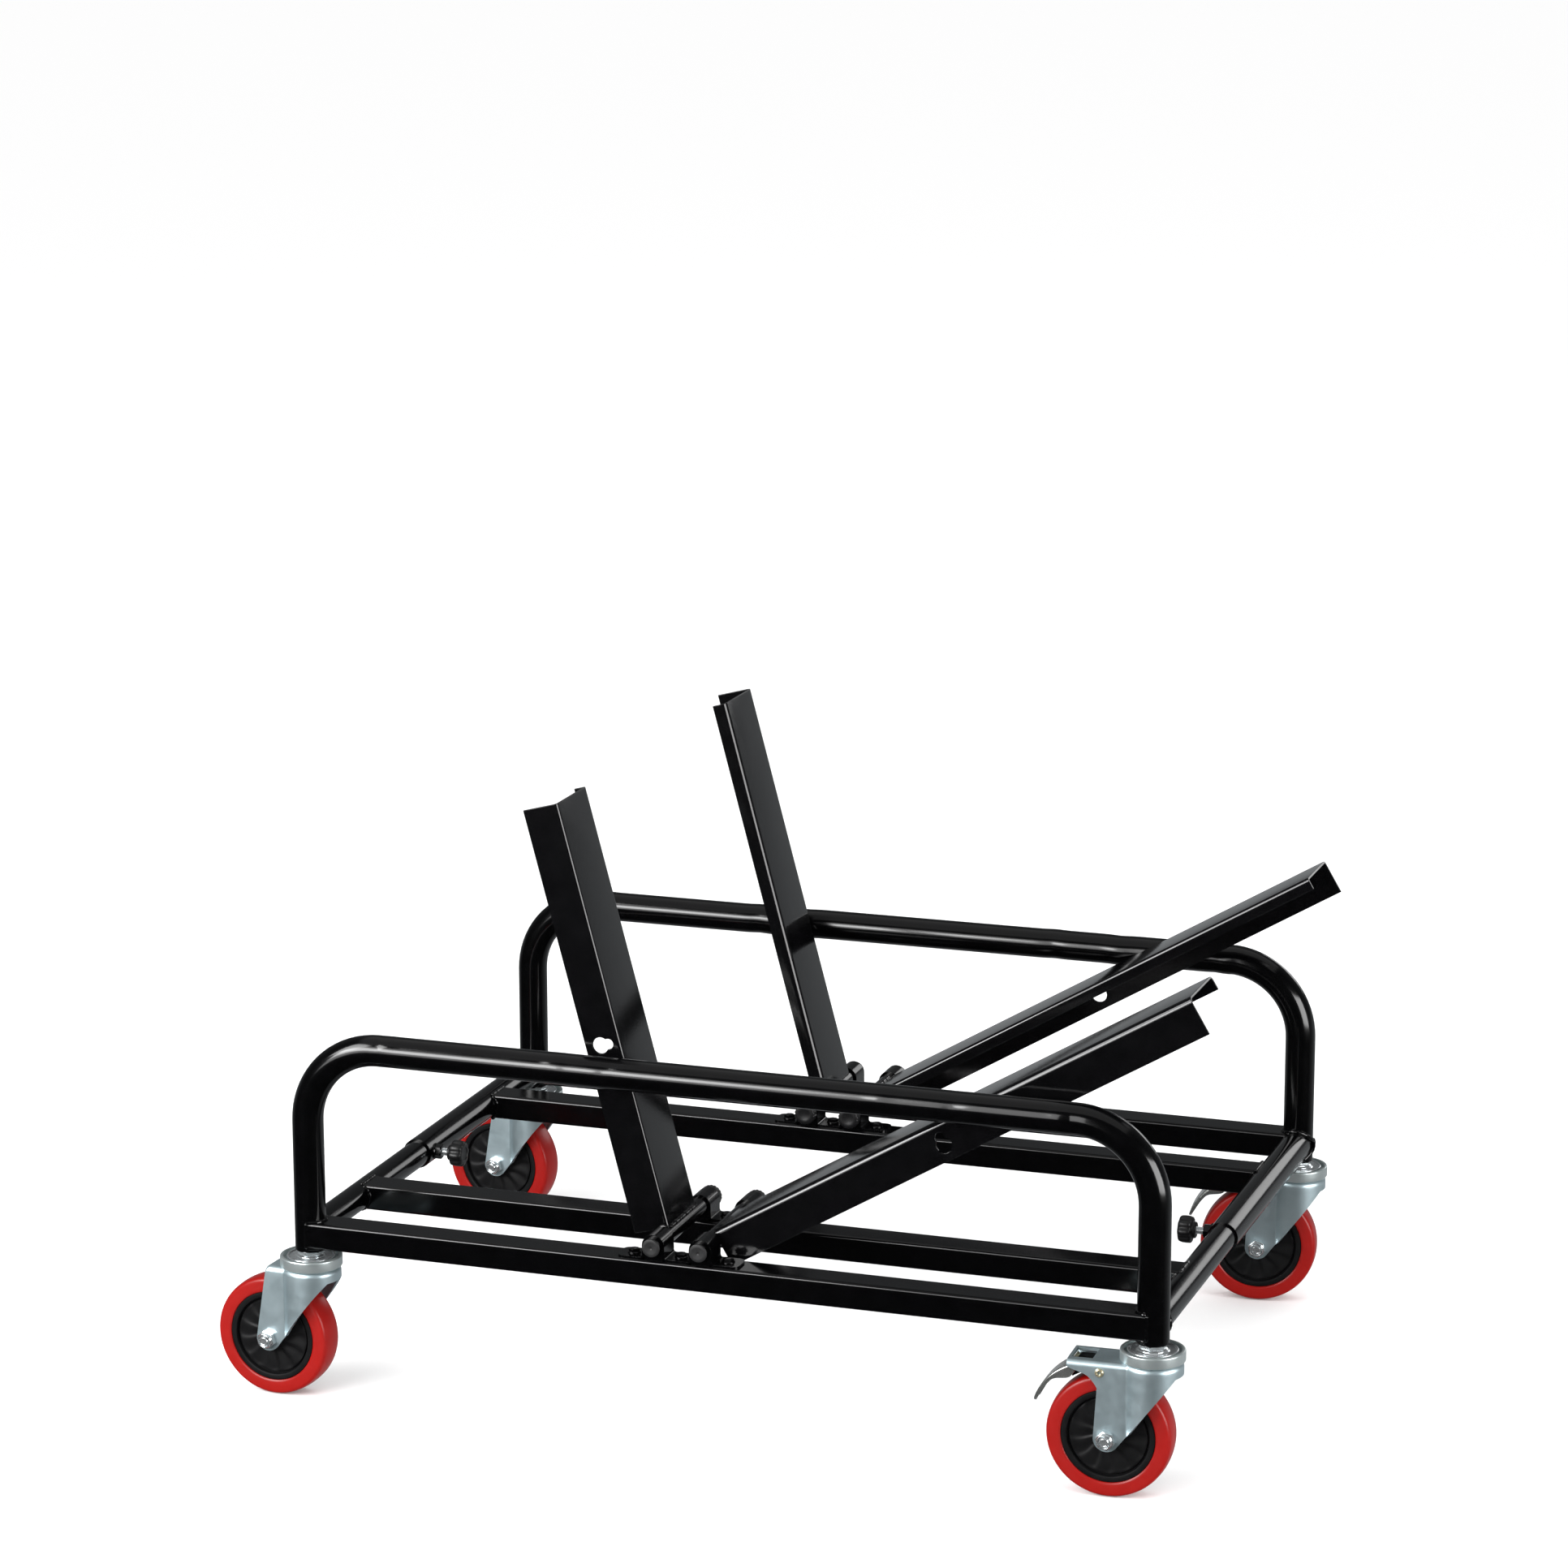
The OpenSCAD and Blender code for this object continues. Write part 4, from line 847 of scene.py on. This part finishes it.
def knob_shape():
    """Lobed grip with a stepped neck, along Z from the tube's axis."""
    turns = full_turn(LOBES * 12)
    # radius, height and share of the lobes
    section = [(4.05, 31.0, 0.0), (7.6, 31.0, 0.0), (8.3, 31.5, 0.0), (8.5, 32.4, 0.0), (8.6, 33.8, 0.0),
               (9.2, 34.3, 0.0), (10.6, 34.6, 0.1), (12.4, 35.0, 0.5), (13.6, 35.8, 0.9), (14.2, 37.0, 1.0),
               (14.45, 39.0, 1.0), (14.45, 43.0, 1.0), (14.2, 45.6, 1.0), (13.5, 47.2, 0.95),
               (12.2, 48.3, 0.7), (10.2, 48.9, 0.3), (8.0, 49.0, 0.0), (7.4, 48.8, 0.0),
               (7.0, 48.2, 0.0), (3.5, 48.0, 0.0)]

    def hollow(a):
        return LOBE_DEPTH * (0.5 - 0.5 * cos(a * LOBES)) ** 1.6

    rings = [[polar(r - w * hollow(a), a, z) for a in turns] for r, z, w in section]
    return Shape().add(skin([[(0.0, 0.0, 31.0)]] + rings + [[(0.0, 0.0, 48.0)]]))


def stud_shape():
    """Threaded stud."""
    profile, z = [(0.0, 14.3), (3.4, 14.3)], 14.9
    while z < 33.0:
        profile += [(CREST_R, z), (CREST_R, z + 0.2), (GROOVE_R, z + 0.62)]
        z += THREAD_PITCH
    return Shape().add(lathe(profile + [(GROOVE_R, 36.0), (0.0, 36.0)], 40))


clamp_nuts = Shape()
for end in LEGS:
    place = knob_place(end)
    piece(end + "_knob_grip", knob_shape(), BLACK, end + "_clamp", [end + "_knob"], place,
          smooth=50.0)
    piece(end + "_knob_thread", stud_shape(), BRIGHT, end + "_clamp", [end + "_knob_stud"], place)
    clamp_nuts.add(nut(14.0, 14.6, 23.0, bore=4.1), place @ turned("Z", 15.0))
    # the bead dips to both sides of the round sleeve, which runs along Y here too
    seat = [polar(NUT_SEAT_R, a, sqrt(SLEEVE_R ** 2 - (NUT_SEAT_R * cos(a)) ** 2) + 0.2)
            for a in arc(36, 0.0, 350.0)]
    clamp_nuts.add(bead(seat, 1.4, closed=True), place)
piece("clamp_nut_set", clamp_nuts, PAINT, "far_frame", ["far_clamp_nuts"])


# Saddles, barrels and their plugs

PIVOTS = {kind: JOINTS["near_" + kind + "_pivot"]["pos_m"][0] / MM for kind in ("back", "seat")}
PIVOT_Z = JOINTS["near_back_pivot"]["pos_m"][2] / MM
BARREL_R, STRAP_T, STRAP_HALF, STRAP_GAP, STRAP_BEND = 9.5, 2.3, 14.0, 0.06, 2.6
# Ears of a strap: reach beyond the bolt, corner radius and stations over the rounded corner
EAR, EAR_R, EAR_STATIONS = 14.0, 7.0, (0.0, 0.05, 0.15, 0.3, 0.5, 0.75, 1.0)
BOLT_X = [PIVOTS["back"] - 25.0, (PIVOTS["back"] + PIVOTS["seat"]) / 2.0, PIVOTS["seat"] + 25.0]
STRAP_TOP = RAIL_TOP + STRAP_T


def strap_form(shape, y):
    """Strap bent over both barrels, with rounded ears."""
    over = BARREL_R + STRAP_GAP + STRAP_T
    corners, radii = [(BOLT_X[0] - EAR, STRAP_TOP)], [0.0]
    for x in PIVOTS.values():
        hump = [(x + over * cos(a), PIVOT_Z + over * sin(a)) for a in arc(16, 180.0, 0.0)]
        corners += [(x - over, STRAP_TOP)] + hump + [(x + over, STRAP_TOP)]
        radii += [STRAP_BEND] + [0.0] * len(hump) + [STRAP_BEND]
    bent = fillet(corners + [(BOLT_X[2] + EAR, STRAP_TOP)], radii + [0.0], closed=False)
    first, last = bent[0][0], bent[-1][0]
    path = [(first + EAR_R * t, STRAP_TOP) for t in EAR_STATIONS] + bent[1:-1]
    path += [(last - EAR_R * t, STRAP_TOP) for t in reversed(EAR_STATIONS)]
    path = [Vector(p) for p in path]
    tops, bottoms = [], []
    for i, at in enumerate(path):
        along = (path[min(i + 1, len(path) - 1)] - path[max(i - 1, 0)]).normalized()
        down = Vector((along.y, -along.x)) * STRAP_T
        room = min(at.x - first, last - at.x)
        inset = EAR_R - sqrt(max(EAR_R ** 2 - (EAR_R - room) ** 2, 0.0)) if room < EAR_R else 0.0
        across = [y + s * (STRAP_HALF - inset) for s in (-1.0, -0.94, 0.0, 0.94, 1.0)]
        tops.append([(at.x, v, at.y) for v in across])
        bottoms.append([(at.x + down.x, v, at.y + down.y) for v in across])
    shape.add(slab(tops, bottoms))


def bolt_form(shape, x, y):
    """Flanged hexagon bolt."""
    place = moved(x, y, STRAP_TOP)
    flange = spun([(0.0, 0.0), (6.6, 0.0), (6.6, 0.7), (5.2, 1.5), (0.0, 1.5)], [0, 0.2, 0.3, 0.3, 0], 40)
    shape.add(flange, place)
    shape.add(nut(10.0, 0.6, 4.0), place @ turned("Z", x))
    shape.add(spun([(0.0, 3.6), (4.3, 3.6), (3.2, 4.25), (0.0, 4.45)], [0, 0.2, 0.8, 0], 40), place)


# Turn of an arm from level, side its web faces, length and place of its keyhole
ARMS = {"back": (105.0, -1.0, 448.5, 202.0), "seat": (30.5, 1.0, 566.5, 271.0)}
ARM_OUT, ARM_IN, WEB_OUT, ARM_FOOT, ARM_T = 285.8, 205.3, 6.0, 7.5, 2.5
# First station beyond the barrel, and the last one's distance from the end
ARM_START, ARM_END = 16.0, 3.0
FLANGE, LIP, FOLD_R = 37.5, 13.0, 4.0
KEY_WIDE, KEY_WIDE_R, KEY_SLOT, KEY_SLOT_R = -15.4, 8.3, -7.0, 5.3
KEY_ROOM = 14.0


def arm_place(kind, way):
    """Frame of an arm: X along it from the pivot, Z out of its web."""
    rise, up = ARMS[kind][:2]
    return moved(PIVOTS[kind], 0.0, PIVOT_Z) @ turned("Y", -rise) @ Matrix.Diagonal((1.0, way, up, 1.0))


def arm_shape(length, hole):
    """Folded sheet seen as its outer face: lip, web, and deep flange with a keyhole."""
    fold = WEB_OUT - FOLD_R
    columns = [(ARM_IN, WEB_OUT - LIP), (ARM_IN, -2.0)]
    quarter = arc(10, 0.0, 90.0)
    columns += [(ARM_IN + FOLD_R * (1.0 - cos(a)), fold + FOLD_R * sin(a)) for a in quarter]
    columns += [(ARM_OUT - FOLD_R * (1.0 - sin(a)), fold + FOLD_R * cos(a)) for a in quarter]
    flat = len(columns) - 1
    columns += [(ARM_OUT, z) for z in (0.0, -3.0, -5.5, -8.0, -20.0, WEB_OUT - FLANGE)]

    def foot(z):
        return max(ARM_FOOT, sqrt(max((BARREL_R + 0.1) ** 2 - z * z, 0.0)))

    stations = (spaced(ARM_START, hole - KEY_ROOM, 4) + [hole]
                + spaced(hole + KEY_ROOM, length - ARM_END, 4) + [length])
    rows = [[(foot(z), y, z) for y, z in columns]] + [[(x, y, z) for y, z in columns] for x in stations]
    count = len(columns)
    shape = Shape()
    for low, high in zip(rows, rows[1:]):
        cut = low[0][0] in (hole - KEY_ROOM, hole)
        last = flat if cut else count - 1
        shape.add((low + high, [(j, count + j, count + j + 1, j + 1) for j in range(last)]))
    key = [(KEY_SLOT_R * cos(a), KEY_SLOT + KEY_SLOT_R * sin(a)) for a in arc(8, 90.0, 180.0)]
    meet = degrees(acos(-KEY_SLOT_R / KEY_WIDE_R))
    key += [(KEY_WIDE_R * cos(a), KEY_WIDE + KEY_WIDE_R * sin(a)) for a in arc(14, meet, 270.0)]
    heights = [z for y, z in columns[flat:]]
    for side in (1.0, -1.0):
        ring = [(-KEY_ROOM, z) for z in heights] + [(0.0, heights[-1])] + key[::-1] + [(0.0, heights[0])]
        shape.add(([(hole + side * x, ARM_OUT, z) for x, z in ring], [tuple(range(len(ring)))]))
    return shape


def arm_welds(kind):
    """Lumpy beads that hold an arm's foot on its barrel: along the web and round both folded sides."""
    rise = ARMS[kind][0]
    shape = Shape()
    seat = BARREL_R + 0.2
    top = asin(WEB_OUT / BARREL_R)
    x, z = seat * cos(top + 0.06), seat * sin(top + 0.06)
    web = [(x, y, z) for y in spaced(ARM_IN + 3.0, ARM_OUT - 3.0, 20)]
    shape.add(bead(web, 2.0, pitch=5.6, flow=rise))
    for y, low in ((ARM_OUT + 0.2, -46.0), (ARM_IN - 0.2, -40.0)):
        rim = [(seat * cos(a), y, seat * sin(a)) for a in arc(16, degrees(top), low)]
        shape.add(bead(rim, 1.8, flow=y))
    return shape


# Ribs of a barrel's cap and depth of the grooves between them
RIBS, RIB_DEPTH = 18, 0.75


def barrel_place(x, way):
    """Frame of a barrel: Z along its axis from the trolley's middle outward."""
    return moved(x, 0.0, PIVOT_Z) @ turned("X", -90.0 * way)


def plug_shape(x, way):
    """Plain plug in a barrel's outer end."""
    plug = spun([(0.0, 326.8), (1.6, 327.9), (6.6, 328.4), (9.3, 328.0), (9.3, 326.05), (0.0, 326.05)],
                [0, 0.6, 2.0, 1.0, 0.3, 0], 56)
    return Shape().add(plug, barrel_place(x, way))


def ribbed_cap_shape(x, way):
    """Ribbed cap on a barrel's inner end."""
    turns = full_turn(RIBS * 8)
    # radius, height and share of the grooves
    section = [(9.55, 156.6, 0.0), (10.9, 156.6, 0.4), (11.45, 156.2, 1.0), (11.5, 155.4, 1.0),
               (11.5, 149.6, 1.0), (11.3, 148.6, 0.9), (10.7, 147.7, 0.4), (9.6, 147.2, 0.0),
               (6.0, 147.0, 0.0), (5.2, 147.4, 0.0)]
    rings = [[polar(r - w * RIB_DEPTH * max(0.0, cos(a * RIBS)) ** 0.7, a, z) for a in turns]
             for r, z, w in section]
    cap = skin([[(0.0, 0.0, section[0][1])]] + rings + [[(0.0, 0.0, section[-1][1])]])
    return Shape().add(cap, barrel_place(x, way))


for side, way in SIDES.items():
    straps, bolts = Shape(), Shape()
    for y in (way * LEG_Y, way * INNER_Y):
        strap_form(straps, y)
        for x in BOLT_X:
            bolt_form(bolts, x, y)
    body = side + "_frame"
    piece(side + "_strap_set", straps, PAINT, body, [side + "_saddle_straps"],
          smooth=40.0, bevel=1.05, steps=4)
    piece(side + "_bolt_set", bolts, PAINT, body, [side + "_saddle_bolts"])
    for kind, x in PIVOTS.items():
        name = side + "_" + kind
        body, barrel = name + "_cradle_arm", name + "_barrel"
        place = arm_place(kind, way)
        piece(name + "_arm_sheet", arm_shape(*ARMS[kind][2:]), SHEET_PAINT_PAINTED_LIGHT, body,
              [name + "_arm"], place, smooth=50.0, bevel=0.5, thick=ARM_T)
        piece(name + "_arm_welds", arm_welds(kind), PAINT, body, (), place, smooth=60.0)
        piece(barrel + "_plug", plug_shape(x, way), GREY, body, [barrel + "_caps"])
        piece(barrel + "_ribbed_cap", ribbed_cap_shape(x, way), BLACK, body, smooth=50.0)


# Softer edges on the saddle blocks, whose split points are joined first

for side in SIDES:
    blocks = NODES[side + "_saddle_blocks"]
    join = blocks.modifiers.new("join", "WELD")
    join.merge_threshold = 0.02 * MM
    soften(blocks, 0.6, 3, 40.0)


# Camera, floor and lights

PHOTO_PX = 1932
FOCAL_PX = 5982.0
SENSOR_MM = 36.0
CAMERA_AT = Vector((1.57442, -4.61220, 1.74765))
AZIMUTH, PITCH, ROLL = radians(18.94), radians(13.17), radians(-0.107)
FLOOR_HALF = 70.0


def make_camera():
    """Pinhole camera from its place and three angles."""
    data = bpy.data.cameras.new("camera")
    data.sensor_fit = "HORIZONTAL"
    data.sensor_width = SENSOR_MM
    data.lens = FOCAL_PX / PHOTO_PX * SENSOR_MM
    data.clip_end = 200.0
    forward = Vector((-sin(AZIMUTH) * cos(PITCH), cos(AZIMUTH) * cos(PITCH), -sin(PITCH)))
    right = Vector((cos(AZIMUTH), sin(AZIMUTH), 0.0))
    up = right.cross(forward)
    level = cos(ROLL) * right + sin(ROLL) * up
    upright = -sin(ROLL) * right + cos(ROLL) * up
    cam = bpy.data.objects.new("camera", data)
    rows = [[level[i], upright[i], -forward[i], CAMERA_AT[i]] for i in range(3)]
    cam.matrix_world = Matrix(rows + [[0.0, 0.0, 0.0, 1.0]])
    SCENE.collection.objects.link(cam)
    SCENE.camera = cam


def make_floor():
    """Pale floor that lights the object but leaves its gloss to the softboxes."""
    mesh = bpy.data.meshes.new("floor")
    corners = [(x * FLOOR_HALF, y * FLOOR_HALF, 0.0) for x, y in ((-1, -1), (1, -1), (1, 1), (-1, 1))]
    mesh.from_pydata(corners, [], [(0, 1, 2, 3)])
    floor = bpy.data.objects.new("floor", mesh)
    SCENE.collection.objects.link(floor)
    mesh.materials.append(new_material("floor", (0.97, 0.97, 0.97), 0.9, specular=0.1)[0])
    floor.visible_glossy = False


def make_world():
    """White surroundings; reflections see a dark room in front and a pale sweep behind."""
    world = bpy.data.worlds.new("studio")
    world.use_nodes = True
    tree = world.node_tree

    def part(kind, *values):
        node = tree.nodes.new(kind)
        for socket, value in zip(node.inputs, values):
            if isinstance(value, bpy.types.NodeSocket):
                tree.links.new(value, socket)
            else:
                socket.default_value = value
        return node

    def spread(value, start, end, low=0.0, high=1.0):
        return part("ShaderNodeMapRange", value, start, end, low, high).outputs[0]

    plain = tree.nodes["Background"]
    plain.inputs["Color"].default_value = (1.0, 1.0, 1.0, 1.0)
    plain.inputs["Strength"].default_value = 1.04
    way = part("ShaderNodeSeparateXYZ", part("ShaderNodeTexCoord").outputs["Generated"])
    # brightness seen in reflections: from front to back, above and below the horizon
    back = spread(way.outputs["Y"], -0.1, 0.8)
    sunk = spread(way.outputs["Z"], 0.06, -0.06)
    above = spread(back, 0.0, 1.0, 0.025, 0.11)
    below = spread(back, 0.0, 1.0, 0.015, 0.32)
    gain = spread(sunk, 0.0, 1.0, above, below)
    dim = part("ShaderNodeBackground", (0.93, 0.97, 1.0, 1.0), gain)
    mix = part("ShaderNodeMixShader", part("ShaderNodeLightPath").outputs["Is Glossy Ray"],
               plain.outputs["Background"], dim.outputs["Background"])
    tree.links.new(mix.outputs["Shader"], tree.nodes["World Output"].inputs["Surface"])
    SCENE.world = world


def softbox(name, at, target, size, glow, fill):
    """Area light whose surface has a given brightness; fill is its share on matt surfaces."""
    data = bpy.data.lights.new(name, "AREA")
    data.shape = "RECTANGLE"
    data.size, data.size_y = size
    data.energy = glow * pi * size[0] * size[1]
    data.diffuse_factor = fill
    light = bpy.data.objects.new(name, data)
    light.location = at
    light.rotation_euler = (Vector(target) - Vector(at)).to_track_quat("-Z", "Y").to_euler()
    light.visible_camera = False
    SCENE.collection.objects.link(light)


SOFTBOXES = [("key", (-1.62, -2.55, 1.34), (-0.3, -0.2, 0.35), (1.9, 0.8), 11.5, 0.26),
             ("key_edge", (-1.25, -2.65, 1.24), (0.0, -0.2, 0.35), (2.5, 1.8), 3.2, 0.22),
             ("back", (1.25, 3.6, 1.15), (0.45, 0.0, 0.2), (1.5, 1.0), 2.2, 1.0),
             ("side", (3.4, -1.0, 0.87), (0.2, -0.2, 0.6), (2.3, 1.6), 8.0, 0.12),
             ("left", (-1.85, -1.65, 1.75), (0.25, -0.3, 0.36), (1.0, 1.2), 8.0, 0.15),
             ("top", (0.0, 0.2, 3.4), (0.0, 0.2, 0.0), (5.0, 5.0), 0.35, 1.0)]

make_camera()
make_floor()
make_world()
for box in SOFTBOXES:
    softbox(*box)
SCENE.view_settings.view_transform = "Standard"
